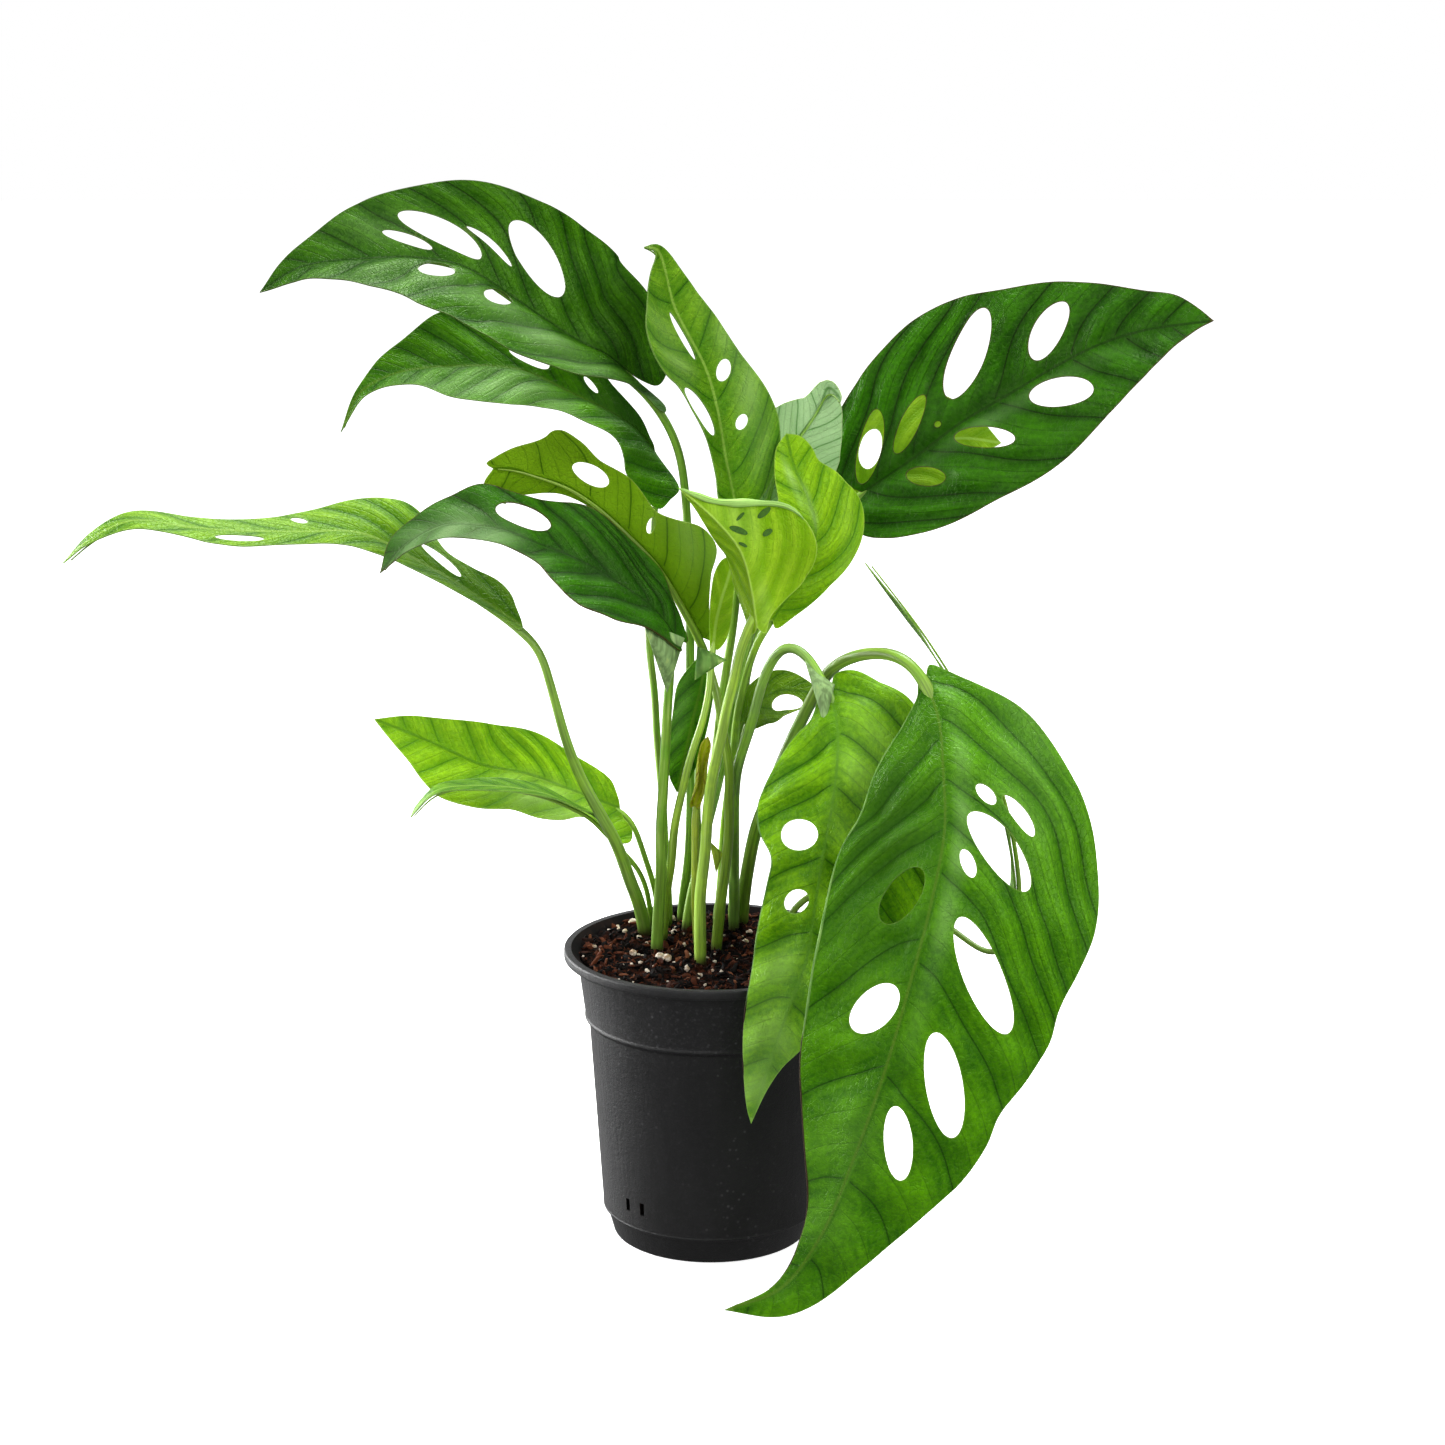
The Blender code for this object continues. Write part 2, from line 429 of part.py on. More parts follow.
def smooth_curve(points, count):
    """Evenly spaced points along a smooth curve through the given ones (centripetal Catmull-Rom)."""
    p = np.asarray(points, float)
    ends = np.vstack([2 * p[0] - p[1], p, 2 * p[-1] - p[-2]])
    knots = np.r_[0, np.cumsum(np.linalg.norm(np.diff(ends, axis=0), axis=1) ** 0.5)]
    steps = np.linspace(0, 1, 41)[:, None]
    pieces = []
    for i in range(len(p) - 1):
        p0, p1, p2, p3 = ends[i:i + 4]
        t0, t1, t2, t3 = knots[i:i + 4]
        out = (t2 - t1) * ((p1 - p0) / (t1 - t0) - (p2 - p0) / (t2 - t0)) + (p2 - p1)
        into = (t2 - t1) * ((p3 - p2) / (t3 - t2) - (p3 - p1) / (t3 - t1)) + (p2 - p1)
        piece = ((2 * steps**3 - 3 * steps**2 + 1) * p1 + (steps**3 - 2 * steps**2 + steps) * out
                 + (3 * steps**2 - 2 * steps**3) * p2 + (steps**3 - steps**2) * into)
        pieces.append(piece if i == 0 else piece[1:])
    curve = np.vstack(pieces)
    along = np.r_[0, np.cumsum(np.linalg.norm(np.diff(curve, axis=0), axis=1))]
    wanted = np.linspace(0, along[-1], count)
    return np.stack([np.interp(wanted, along, curve[:, k]) for k in range(curve.shape[1])], axis=-1)


def curve_length(points):
    return float(np.linalg.norm(np.diff(smooth_curve(points, 200), axis=0), axis=1).sum())


class Blade:
    """The surface of a leaf: x runs along its rib and y across it, positive on the right, in mm."""

    STATIONS = 201

    def __init__(self, spec):
        self.rib = smooth_curve(spec["rib"], self.STATIONS)
        self.length = curve_length(spec["rib"])
        self.along = unit(np.gradient(self.rib, axis=0))
        share = np.linspace(0, 1, self.STATIONS)
        marks = np.linspace(0, 1, len(spec["face"]))
        facing = unit(np.array(spec["face"], float))
        facing = np.stack([np.interp(share, marks, facing[:, k]) for k in range(3)], axis=-1)
        self.across = unit(np.cross(self.along, facing))
        self.normal = np.cross(self.across, self.along)
        self.sides = (spec["left"]["bend"], spec["right"]["bend"])
        self.wave = spec["wave"]

    def place(self, x, y):
        """Points of the surface in space, in mm."""
        x = np.asarray(x, float)
        y = np.asarray(y, float)
        share = np.clip(x / self.length, 0, 1)
        at = share * (self.STATIONS - 1)
        low = np.minimum(at.astype(int), self.STATIONS - 2)
        rest = (at - low)[..., None]
        rib = self.rib[low] * (1 - rest) + self.rib[low + 1] * rest
        along = unit(self.along[low] * (1 - rest) + self.along[low + 1] * rest)
        across = unit(self.across[low] * (1 - rest) + self.across[low + 1] * rest)
        normal = unit(self.normal[low] * (1 - rest) + self.normal[low + 1] * rest)
        rib = rib + along * (x - share * self.length)[..., None]
        on_right = y >= 0
        width, fold_base, fold_tip, curl_base, curl_tip = np.where(
            on_right[..., None], self.sides[1], self.sides[0]).transpose(-1, *range(x.ndim))
        fold = np.radians(fold_base + (fold_tip - fold_base) * share)
        curl = np.radians(curl_base + (curl_tip - curl_base) * share) / width
        curl = np.where(np.abs(curl) < 1e-6, 1e-6, curl)
        reach = np.abs(y)
        outward = (np.sin(fold + curl * reach) - np.sin(fold)) / curl
        upward = (np.cos(fold) - np.cos(fold + curl * reach)) / curl
        height, count, start = self.wave
        lag = np.where(on_right, 0.0, SIDE_LAG)
        upward = upward + height * (reach / width) ** 2 * np.sin(2 * np.pi * (count * share + start) + lag)
        sign = np.where(on_right, 1.0, -1.0)
        return rib + across * (sign * outward)[..., None] + normal * upward[..., None]


def side_edge(edge, length, sign, step):
    """One side's edge from the notch at the stalk to the tip, as flat points about a step apart."""
    points = [(0, 0)] + [(x, sign * y) for x, y in edge] + [(length, 0)]
    count = max(8, round(curve_length(points) / step))
    return smooth_curve(points, count + 1)


def hole_loop(hole, step):
    """An oval in the flat pattern, slanted outwards from the rib towards the tip."""
    x, y, length, width, slant = hole
    count = max(7, round(math.pi * (length + width) / 2 / step))
    turn = np.linspace(0, 2 * math.pi, count, endpoint=False)
    slant = math.radians(slant) * (1 if y >= 0 else -1)
    long_way = np.cos(turn) * length / 2
    short_way = np.sin(turn) * width / 2
    return np.stack([x + long_way * math.cos(slant) - short_way * math.sin(slant),
                     y + long_way * math.sin(slant) + short_way * math.cos(slant)], axis=-1)


def inside(points, loop):
    """Which points lie inside a closed loop."""
    nexts = np.roll(loop, -1, axis=0)
    x, y = points[:, :1], points[:, 1:]
    crosses = (loop[:, 1] > y) != (nexts[:, 1] > y)
    run = np.where(nexts[:, 1] == loop[:, 1], 1.0, nexts[:, 1] - loop[:, 1])
    at = loop[:, 0] + (y - loop[:, 1]) / run * (nexts[:, 0] - loop[:, 0])
    return (np.sum(crosses & (x < at), axis=1) % 2).astype(bool)


def flat_pattern(spec, length, step):
    """Triangles of the flat blade between its edges, its rib and its holes."""
    right = side_edge(spec["right"]["edge"], length, 1, step)
    left = side_edge(spec["left"]["edge"], length, -1, step)
    outline = np.vstack([right, left[-2:0:-1]])
    holes = [hole_loop(hole, step * 0.7) for hole in spec["holes"]]
    rib_count = max(4, round(length / step))
    rib = np.stack([np.linspace(0, length, rib_count + 1)[1:-1], np.zeros(rib_count - 1)], axis=-1)
    low, high = outline.min(axis=0), outline.max(axis=0)
    rows = np.arange(low[1], high[1], step * 0.87)
    grid = np.array([(x + (step / 2 if i % 2 else 0), y) for i, y in enumerate(rows)
                     for x in np.arange(low[0], high[0], step)])
    fixed = np.vstack([outline, rib] + holes)
    near = np.linalg.norm(grid[:, None] - fixed[None], axis=-1).min(axis=1)
    keep = inside(grid, outline) & (near > 0.62 * step) & (np.abs(grid[:, 1]) > 0.5 * step)
    for hole in holes:
        keep &= ~inside(grid, hole)
    points = np.vstack([fixed, grid[keep]])
    edges = [(i, (i + 1) % len(outline)) for i in range(len(outline))]
    rib_chain = [0] + [len(outline) + i for i in range(len(rib))] + [len(right) - 1]
    edges += list(zip(rib_chain, rib_chain[1:]))
    start = len(outline) + len(rib)
    for hole in holes:
        edges += [(start + i, start + (i + 1) % len(hole)) for i in range(len(hole))]
        start += len(hole)
    verts, _, faces, _, _, _ = delaunay_2d_cdt([Vector(p) for p in points], edges, [], 0, 1e-5)
    verts = np.array(verts)
    faces = np.array(faces)
    centres = verts[faces].mean(axis=1)
    wanted = inside(centres, outline)
    for hole in holes:
        wanted &= ~inside(centres, hole)
    return verts, faces[wanted]


def tube(name, points, radii, collection):
    """A closed tube along points (mm) with a radius (mm) at each."""
    curve = bpy.data.curves.new(name, "CURVE")
    curve.dimensions = "3D"
    curve.bevel_depth = MM
    curve.bevel_resolution = TUBE_SIDES // 2 - 2
    curve.use_fill_caps = True
    spline = curve.splines.new("POLY")
    spline.points.add(len(points) - 1)
    for point, place, radius in zip(spline.points, points, radii):
        point.co = (*(place * MM), 1)
        point.radius = radius
    path = bpy.data.objects.new(name, curve)
    collection.objects.link(path)
    bpy.context.view_layer.update()
    evaluated = path.evaluated_get(bpy.context.evaluated_depsgraph_get())
    mesh = bpy.data.meshes.new_from_object(evaluated)
    bm = bmesh.new()
    bm.from_mesh(mesh)
    bmesh.ops.remove_doubles(bm, verts=bm.verts, dist=1e-6)
    bmesh.ops.recalc_face_normals(bm, faces=bm.faces)
    bpy.data.objects.remove(path, do_unlink=True)
    return object_from_bmesh(name, bm, collection)


def stalk_path(spec, blade):
    """The stalk from under the blade's rib down into the soil, with its radius at each point."""
    thin, thick = spec["radius"]
    reach = RIB_SHARE * blade.length
    under_rib = []
    for share in RIB_MARKS:
        place = blade.place(np.array([share * reach]), np.array([0.0]))[0]
        sink = RIB_SINK * (RIB_END_RADIUS + (thin - RIB_END_RADIUS) * (1 - share))
        station = int(share * RIB_SHARE * (Blade.STATIONS - 1))
        under_rib.append(place - blade.normal[station] * sink)
    foot = np.array(spec["stalk"][-1], float)
    root = [foot - (0, 0, ROOT_DEPTH / 2), foot - (0, 0, ROOT_DEPTH)]
    route = np.vstack([under_rib, spec["stalk"], root])
    count = round(curve_length(route) / STALK_RING) + 6
    points = smooth_curve(route, count)
    along = np.linspace(0, curve_length(route), count)
    radii = np.interp(along, [0, reach, curve_length(route)], [RIB_END_RADIUS, thin, thick])
    return points, radii


def make_leaf(name, spec, collection):
    """A blade with its holes, joined to its stalk."""
    blade = Blade(spec)
    step = min(max(blade.length / BLADE_ROWS, BLADE_MESH[0]), BLADE_MESH[1])
    flat, faces = flat_pattern(spec, blade.length, step)
    places = blade.place(flat[:, 0], flat[:, 1]) * MM
    bm = bmesh.new()
    verts = [bm.verts.new(place) for place in places]
    for face in faces:
        bm.faces.new([verts[i] for i in face])
    loose = [vert for vert in bm.verts if not vert.link_faces]
    bmesh.ops.delete(bm, geom=loose, context="VERTS")
    bmesh.ops.recalc_face_normals(bm, faces=bm.faces)
    obj = object_from_bmesh(name, bm, collection)
    shell = obj.modifiers.new("Thickness", "SOLIDIFY")
    shell.thickness = BLADE_THICKNESS * MM
    shell.offset = 0
    apply_modifiers(obj)
    points, radii = stalk_path(spec, blade)
    boolean(obj, "UNION", tube(name + "_stalk", points, radii, collection))
    return obj, points, radii


def turned(name, profile, steps, collection):
    """A round piece from its profile of (radius, height) in mm, down the outside and back up inside."""
    bm = bmesh.new()
    verts = [bm.verts.new((radius * MM, 0, height * MM)) for radius, height in profile]
    for a, b in zip(verts, verts[1:]):
        bm.edges.new((a, b))
    obj = object_from_bmesh(name, bm, collection)
    screw = obj.modifiers.new("Turn", "SCREW")
    screw.steps = steps
    screw.render_steps = steps
    screw.use_merge_vertices = True
    screw.merge_threshold = 1e-5
    apply_modifiers(obj)
    return obj


def wall_radius(height):
    """Outer radius of the pot's wall at a height."""
    return float(np.interp(height, [0, FOOT_HEIGHT, BAND_LOW, POT_HEIGHT],
                           [FOOT_RADIUS, WALL_LOW_RADIUS, WALL_TOP_RADIUS, BAND_TOP_RADIUS]))


def make_pot(collection, cutters):
    """Thin-walled pot with a rolled lip, a stepped band, a chamfered foot and a ring of drain holes."""
    lip_low = POT_HEIGHT - LIP_DEPTH
    lip_inside = LIP_RADIUS - WALL
    profile = [
        (LIP_RADIUS - LIP_ROUNDING, POT_HEIGHT),
        (LIP_RADIUS, POT_HEIGHT - LIP_ROUNDING),
        (LIP_RADIUS, lip_low),
        (lip_inside, lip_low),
        (lip_inside, lip_low + WALL),
        (BAND_TOP_RADIUS, lip_low + WALL),
        (BAND_LOW_RADIUS, BAND_LOW + LIP_ROUNDING),
        (BAND_LOW_RADIUS - BAND_STEP, BAND_LOW),
        (WALL_TOP_RADIUS, BAND_LOW - BAND_UNDERCUT),
        (WALL_LOW_RADIUS, FOOT_HEIGHT + FOOT_STEP),
        (FOOT_TOP_RADIUS, FOOT_HEIGHT),
        (FOOT_RADIUS, 0.0),
        (0.0, 0.0),
        (0.0, FLOOR),
        (FOOT_RADIUS - WALL, FLOOR),
        (WALL_LOW_RADIUS - 2 * WALL, FOOT_HEIGHT + FOOT_STEP),
        (WALL_TOP_RADIUS - WALL, BAND_LOW),
        (BAND_TOP_RADIUS - WALL, POT_HEIGHT - WALL),
        (LIP_RADIUS - LIP_INNER_WIDTH, POT_HEIGHT),
        (LIP_RADIUS - LIP_ROUNDING, POT_HEIGHT),
    ]
    pot = turned("pot", profile, POT_STEPS, collection)
    for i in range(DRAIN_HOLES):
        angle = 2 * math.pi * (i + 0.5) / DRAIN_HOLES
        bm = bmesh.new()
        bmesh.ops.create_cone(bm, cap_ends=True, segments=12, radius1=DRAIN_RADIUS * MM,
                              radius2=DRAIN_RADIUS * MM, depth=3 * FLOOR * MM)
        drill = object_from_bmesh("drain_%d" % i, bm, cutters)
        drill.location = Vector((DRAIN_RING * math.cos(angle), DRAIN_RING * math.sin(angle), FLOOR / 2)) * MM
    boolean(pot, "DIFFERENCE", cutters)
    return pot


def soil_height(x, y):
    """Level of the soil's crumbly surface at a place, in mm."""
    swell = math.sin(0.31 * x + 1) * math.cos(0.27 * y) + 0.5 * math.sin(0.6 * (x + y))
    outwards = math.hypot(x, y) / WALL_TOP_RADIUS
    return SOIL_LEVEL + SOIL_RELIEF * swell - SOIL_DROP_AT_WALL * outwards ** 2


def soil_ring(bm, radius, heights):
    ring = []
    for i in range(SOIL_STEPS):
        angle = 2 * math.pi * i / SOIL_STEPS
        x, y = radius * math.cos(angle), radius * math.sin(angle)
        ring.append(bm.verts.new((x * MM, y * MM, heights(x, y) * MM)))
    return ring


def join_rings(bm, upper, lower):
    for i in range(SOIL_STEPS):
        j = (i + 1) % SOIL_STEPS
        bm.faces.new((upper[i], lower[i], lower[j], upper[j]))


def make_soil(collection, grains, cutters, feet):
    """Soil that fills the pot, with mineral grains pressed into its top and a plain hole for each stalk."""
    top_radius = wall_radius(SOIL_LEVEL - 2 * LIP_ROUNDING) - WALL - 2 * SOIL_CLEARANCE
    waist_radius = wall_radius(BAND_LOW) - WALL - 2 * SOIL_CLEARANCE
    bm = bmesh.new()
    middle = bm.verts.new((0, 0, soil_height(0, 0) * MM))
    rings = [soil_ring(bm, top_radius * (i + 1) / SOIL_RINGS, soil_height) for i in range(SOIL_RINGS)]
    for i in range(SOIL_STEPS):
        bm.faces.new((middle, rings[0][i], rings[0][(i + 1) % SOIL_STEPS]))
    waist = soil_ring(bm, waist_radius, lambda x, y: BAND_LOW)
    foot = soil_ring(bm, WALL_LOW_RADIUS - WALL - SOIL_FOOT_CLEARANCE,
                     lambda x, y: FOOT_HEIGHT + SOIL_FOOT_CLEARANCE)
    base = soil_ring(bm, FOOT_RADIUS - WALL - SOIL_CLEARANCE, lambda x, y: FLOOR + SOIL_BASE_CLEARANCE)
    rings += [waist, foot, base]
    for upper, lower in zip(rings, rings[1:]):
        join_rings(bm, upper, lower)
    bm.faces.new(base[::-1])
    bmesh.ops.recalc_face_normals(bm, faces=bm.faces)
    soil = object_from_bmesh("soil", bm, collection)
    rng = random.Random(GRAIN_SEED)
    placed = 0
    while placed < GRAIN_COUNT:
        radius = GRAIN_RADII[0] + (GRAIN_RADII[1] - GRAIN_RADII[0]) * rng.random() ** 2
        far = GRAIN_FIELD * math.sqrt(rng.random())
        angle = rng.uniform(0, 2 * math.pi)
        x, y = far * math.cos(angle), far * math.sin(angle)
        nearest = min(math.hypot(x - foot_x, y - foot_y) for foot_x, foot_y in feet)
        if nearest < radius + GRAIN_TO_STALK:
            continue
        bm = bmesh.new()
        bmesh.ops.create_icosphere(bm, subdivisions=1, radius=radius * MM)
        grain = object_from_bmesh("grain_%d" % placed, bm, grains)
        grain.location = (x * MM, y * MM, (soil_height(x, y) + GRAIN_SHOWING * radius) * MM)
        grain.rotation_euler = (rng.uniform(0, 6), rng.uniform(0, 6), rng.uniform(0, 6))
        placed += 1
    boolean(soil, "UNION", grains)
    boolean(soil, "DIFFERENCE", cutters)
    drop_scraps(soil)
    return soil


def root_cutter(name, points, radii, cutters):
    """The space that a stalk takes in the soil, a gap wider and deeper than the stalk."""
    first = int(np.argmax(points[:, 2] < SOIL_LEVEL + ROOT_REACH_ABOVE))
    deep = points[-1] - (0, 0, GAP / MM)
    route = np.vstack([points[first - 1:-1], deep])
    around = (radii[first - 1:] + GAP / MM) / math.cos(math.pi / TUBE_SIDES)
    return tube(name, route, around, cutters)


def main():
    clear_scene()
    plant = new_collection("potted_swiss_cheese_vine")
    drills = new_collection("pot_cutters")
    grains = new_collection("soil_grains")
    roots = new_collection("soil_cutters")
    black_plastic = material("black_plastic", (0.012, 0.012, 0.013, 1), 0.42)
    earth = material("potting_soil", (0.03, 0.018, 0.012, 1), 0.95)
    greens = {tone: material("leaf_" + tone, colour, 0.4) for tone, colour in LEAF_COLOURS.items()}
    feet = []
    for name, spec in LEAVES.items():
        leaf, points, radii = make_leaf(name, spec, plant)
        leaf.data.materials.clear()
        leaf.data.materials.append(greens["young" if name in YOUNG else "dark" if name in DARK else "mid"])
        root_cutter(name + "_root", points, radii, roots)
        feet.append(spec["stalk"][-1][:2])
    pot = make_pot(plant, drills)
    pot.data.materials.append(black_plastic)
    soil = make_soil(plant, grains, roots, feet)
    soil.data.materials.clear()
    soil.data.materials.append(earth)
    for obj in (pot, soil):
        obj.data.shade_smooth()
        obj.data.set_sharp_from_angle(angle=math.radians(35))
    for collection in (drills, grains, roots):
        bpy.data.collections.remove(collection)


main()
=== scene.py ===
"""The looks of a swiss cheese vine in a nursery pot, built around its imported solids.

Lengths are in mm until a mesh is made, and in metres from there. Each leaf repeats the outline, holes and
rib of its solid on a finer surface, with sunken veins, a raised midrib and its stalk.
"""
import math
import random

import bmesh
import bpy
import numpy as np
from mathutils import Matrix, Vector
from mathutils import noise as value_noise
from mathutils.geometry import delaunay_2d_cdt
from mathutils.kdtree import KDTree


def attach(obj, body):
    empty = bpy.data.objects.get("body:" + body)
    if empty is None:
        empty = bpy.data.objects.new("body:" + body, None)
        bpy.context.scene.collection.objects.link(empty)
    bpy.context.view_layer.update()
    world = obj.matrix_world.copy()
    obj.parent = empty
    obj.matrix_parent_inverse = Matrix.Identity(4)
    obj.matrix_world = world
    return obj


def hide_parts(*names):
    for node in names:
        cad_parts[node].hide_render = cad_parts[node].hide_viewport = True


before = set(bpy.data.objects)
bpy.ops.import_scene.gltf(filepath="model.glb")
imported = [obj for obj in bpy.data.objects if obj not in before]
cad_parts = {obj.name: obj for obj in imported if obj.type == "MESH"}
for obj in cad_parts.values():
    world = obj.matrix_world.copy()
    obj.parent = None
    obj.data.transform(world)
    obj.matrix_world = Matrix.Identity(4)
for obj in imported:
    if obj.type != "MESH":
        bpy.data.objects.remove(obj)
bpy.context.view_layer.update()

MM = 0.001
BODY = "root"

# How finely curves and flat patterns are followed, as counts or as shares of a step
CURVE_STEPS = 40
LENGTH_POINTS = 200
LEAST_EDGE_STEPS = 8
LEAST_HOLE_POINTS = 14
HOLE_FINENESS = 0.7
POINT_CLEARANCE = 0.62
EVEN_ROW = 0.87
POINTS_AT_ONCE = 4000

# Camera, as the photograph was taken
CAMERA_PLACE = (0.0045, -1.1202, 0.472)
CAMERA_PITCH = 76.5
SENSOR_MM = 36.0
LENS_MM = 75.89

# Pot, in mm: radii at the levels of its steps, and its side slots by their angles in degrees
POT_HEIGHT = 115.0
LIP_RADIUS = 56.5
LIP_DEPTH = 3.6
LIP_INNER_WIDTH = 2.6
LIP_BEVEL = 0.6
BAND_TOP_RADIUS = 52.0
BAND_LOW_RADIUS = 48.4
BAND_LOW = 87.0
SEAM = 0.35
WALL_TOP_RADIUS = 47.0
WALL_LOW_RADIUS = 42.0
FOOT_HEIGHT = 10.0
FOOT_TOP_RADIUS = 40.8
FOOT_RADIUS = 38.0
WALL = 1.2
FLOOR = 2.0
POT_STEPS = 160
POT_CORNER = 0.9
POT_CORNER_STEPS = 3
POT_SHARP_DEGREES = 35
DRAIN_HOLES = 6
DRAIN_RADIUS = 3.5
DRAIN_RING = 26.0
SIDE_SLOTS = (-128, -138, -8, -18, 112, 102)
SIDE_SLOT_SIZE = (2.0, 5.0)
SIDE_SLOT_LEVEL = 20.0

# Soil, in mm: a row of its crumbs' relief is waves per mm, layer of the noise and height
SOIL_LEVEL = 110.5
SOIL_RELIEF = 1.1
CRUMB_RELIEF = ((0.35, 3.0, 0.9), (1.1, 7.0, 0.45))
SOIL_RISE_AT_WALL = 1.6
SOIL_RADIUS = 50.5
SOIL_SKIRT = 96.0
SOIL_SKIRT_INSET = 3
SOIL_RINGS, SOIL_STEPS = ((90, 260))
ROOT_DEPTH = 12.0

# Colours of the pot and of peat, in linear light, and of perlite, as the screen shows it
POT_BLACKS = ((0.002, 0.002, 0.0023, 1), (0.006, 0.006, 0.0064, 1))
# painted shade near the foot
POT_FOOT_SHADE = (0.0008, 0.0008, 0.0008, 1)
POT_DUST = (0.07, 0.07, 0.073, 1)
POT_SCUFF = (0.036, 0.036, 0.038, 1)
# the inner wall: painted shade, with brown soil smears
POT_INSIDE_SOIL_AND_SHADE = ((0.0015, 0.0013, 0.0013, 1), (0.008, 0.004, 0.003, 1))
PEAT = ((0.0008, 0.0006, 0.0006, 1), (0.03, 0.0075, 0.003, 1))
PEAT_GRAIN = (0.03, 0.012, 0.007, 1)
CHIP = ((0.001, 0.0007, 0.0006, 1), (0.075, 0.019, 0.007, 1))
CHIP_PALE = (0.17, 0.06, 0.028, 1)
CHIP_GRAIN = (0.04, 0.015, 0.008, 1)
PERLITE = ((226, 214, 196), (168, 138, 108))
PERLITE_PORE = (110, 84, 62)

# What lies on the soil, in mm: perlite grains that the photograph shows, as (x, y, radius), and more around.
# Sizes are the least and how much the largest has more.
RANDOM_SEEDS = {"crumbs": 11, "perlite": 5, "fibres": 23}
TONE_STEP = 0.618
CRUMBS = 2200
CRUMB_SIZES = (0.35, 1.1)
SEEN_GRAINS = (
    (-31, 35, 1.4), (-37, 30, 0.8), (-40, 26, 0.7), (-34, 25, 0.9), (-36.5, 27, 0.6), (-28, 19, 1.1),
    (-25, 11.5, 0.8), (-15.6, 40, 1.3), (-14.6, 26, 1.2), (-10.5, 10, 1.0), (-42.8, 1.4, 0.9),
    (-30, 1.4, 1.5), (-19.5, -3.6, 1.4), (-16.8, -5, 1.7), (15.3, 27, 1.1), (13.7, 15.3, 1.0),
    (-24, -20, 1.0), (-9, -19, 1.3), (-4, -27, 1.0), (4, -25, 0.8), (-30, -16, 0.8), (16, -30, 0.8),
    (22, -14, 0.9), (-14, -9, 0.8))
MORE_GRAINS = 70
MORE_GRAIN_SIZES = (0.3, 0.5)
FIBRES = 170
FIBRE_LENGTH = (2.5, 7)
FIBRE_CURVE = 0.25
FIBRE_RADIUS = (0.1, 0.2)
FIBRE_RAISED = 0.35
FIBRE_STEPS = 6
FIBRE_SIDES = 5

# Studio, in metres: radiance of the surroundings and of the floor
WORLD_BELOW = 0.36
WORLD_ABOVE = 0.75
FLOOR_GLOW = 0.72
FLOOR_SIZE = 12
FLOOR_LEVEL = -0.0002

# Lights: name, place, size, watts, aim and spread in degrees
LIGHTS = (
    ("window", (0.12, 0.65, 1.75), (1.1, 1.0), 44, (0, 0, 0.2), 180),
    ("key", (1.1, -1.4, 1.1), (1.1, 1.1), 25, (0, 0, 0.2), 180),
    ("fill", (-0.8, -1.6, 0.6), (1.3, 1.1), 12, (0, 0, 0.2), 180),
    ("edge", (-1.0, 0.5, 0.25), (1.3, 0.6), 9, (0, 0, 0.06), 70),
)

# Blades, in mm, with the lag of the left side's waves as a phase
BLADE_THICKNESS = 0.5
BLADE_STEP = 1.15
SHARP_DEGREES = 50
SIDE_LAG = 1.3

# Relief of a blade, in mm: side veins before the stalk, how far veins wander, and widths and depths
EARLY_VEINS = 6
VEIN_WANDER = 1.2
VEIN_WIDTH = 0.8
RIB_WIDTH = 1.7
RIB_SINK = 0.4
RIB_GROOVE = 0.0035
RELIEF_FADE = 6

# Midribs and stalks, in mm: the marks are shares of the rib, from the tip down
RIB_MARKS = (0.985, 0.92, 0.84, 0.75, 0.66, 0.57, 0.48, 0.39, 0.3, 0.22, 0.15, 0.09, 0.03)
RIB_TIP_RADIUS = 0.28
STALK_SIDES = 14
STALK_STEP = 2.0
STALK_SMOOTHING = 10
STALK_GROOVE = 0.12
GROOVE_WIDTH = 0.45
TUBE_START = (0.3, 0.5, 0.8)
KNEE_PLACE = 6
KNEE_LENGTH = 5
KNEE_SWELL = 0.12

# Colour and gloss of leaves and stalks
LEAF_SEEDS = 97
LEAF_GLOW = 0.25
LEAF_SHEEN = (0.62, 1.0, 0.32, 1.0)
# colour of the painted sheen on leaves
PAINTED_SHEEN = (186, 216, 160)
STRIPE_STEP = 0.03
# pale streaks on stalks: painted highlight
STALK_HIGHLIGHT = (176, 194, 114)
# where stalks enter the soil: soil stain and painted shade
STALK_STAIN_AND_SHADE = (0.03, 0.02, 0.008, 1.0)
STALK_GLOSS = 0.4

# Right margins that roll back into a bead: leaf, from and to as shares of the edge, radius, lift, palette
ROLLED_EDGES = (
    ("leaf_big_front", 0.04, 0.93, 0.5, 0.0, "edge"),
    ("leaf_hanging_pale", 0.1, 0.95, 0.35, 0.0, "edge"),
    ("leaf_young_front", 0.52, 1.0, 1.6, 0.6, "ribbon"),
)
BEAD_END_RADIUS = 0.15
BEAD_SIDES = 12
BEAD_STEP = 1.5
BEAD_GLOSS = 0.12

# Painted shadow of the slits in the rolled young leaf: dark pieces, given as holes are below
SLITS = ((37, 3.8, 7, 2.3, -31), (36, 15, 6, 1.8, 88), (31, 12, 4, 1.5, 88), (40, 7.5, 4, 1.1, 88),
         (32, 2.0, 3.5, 1.2, -31))
SLIT_LIFT = 0.5
SLIT_STEP = 0.4
SLIT_SHADOW_COLOURS = ((22, 58, 0), (70, 120, 10))

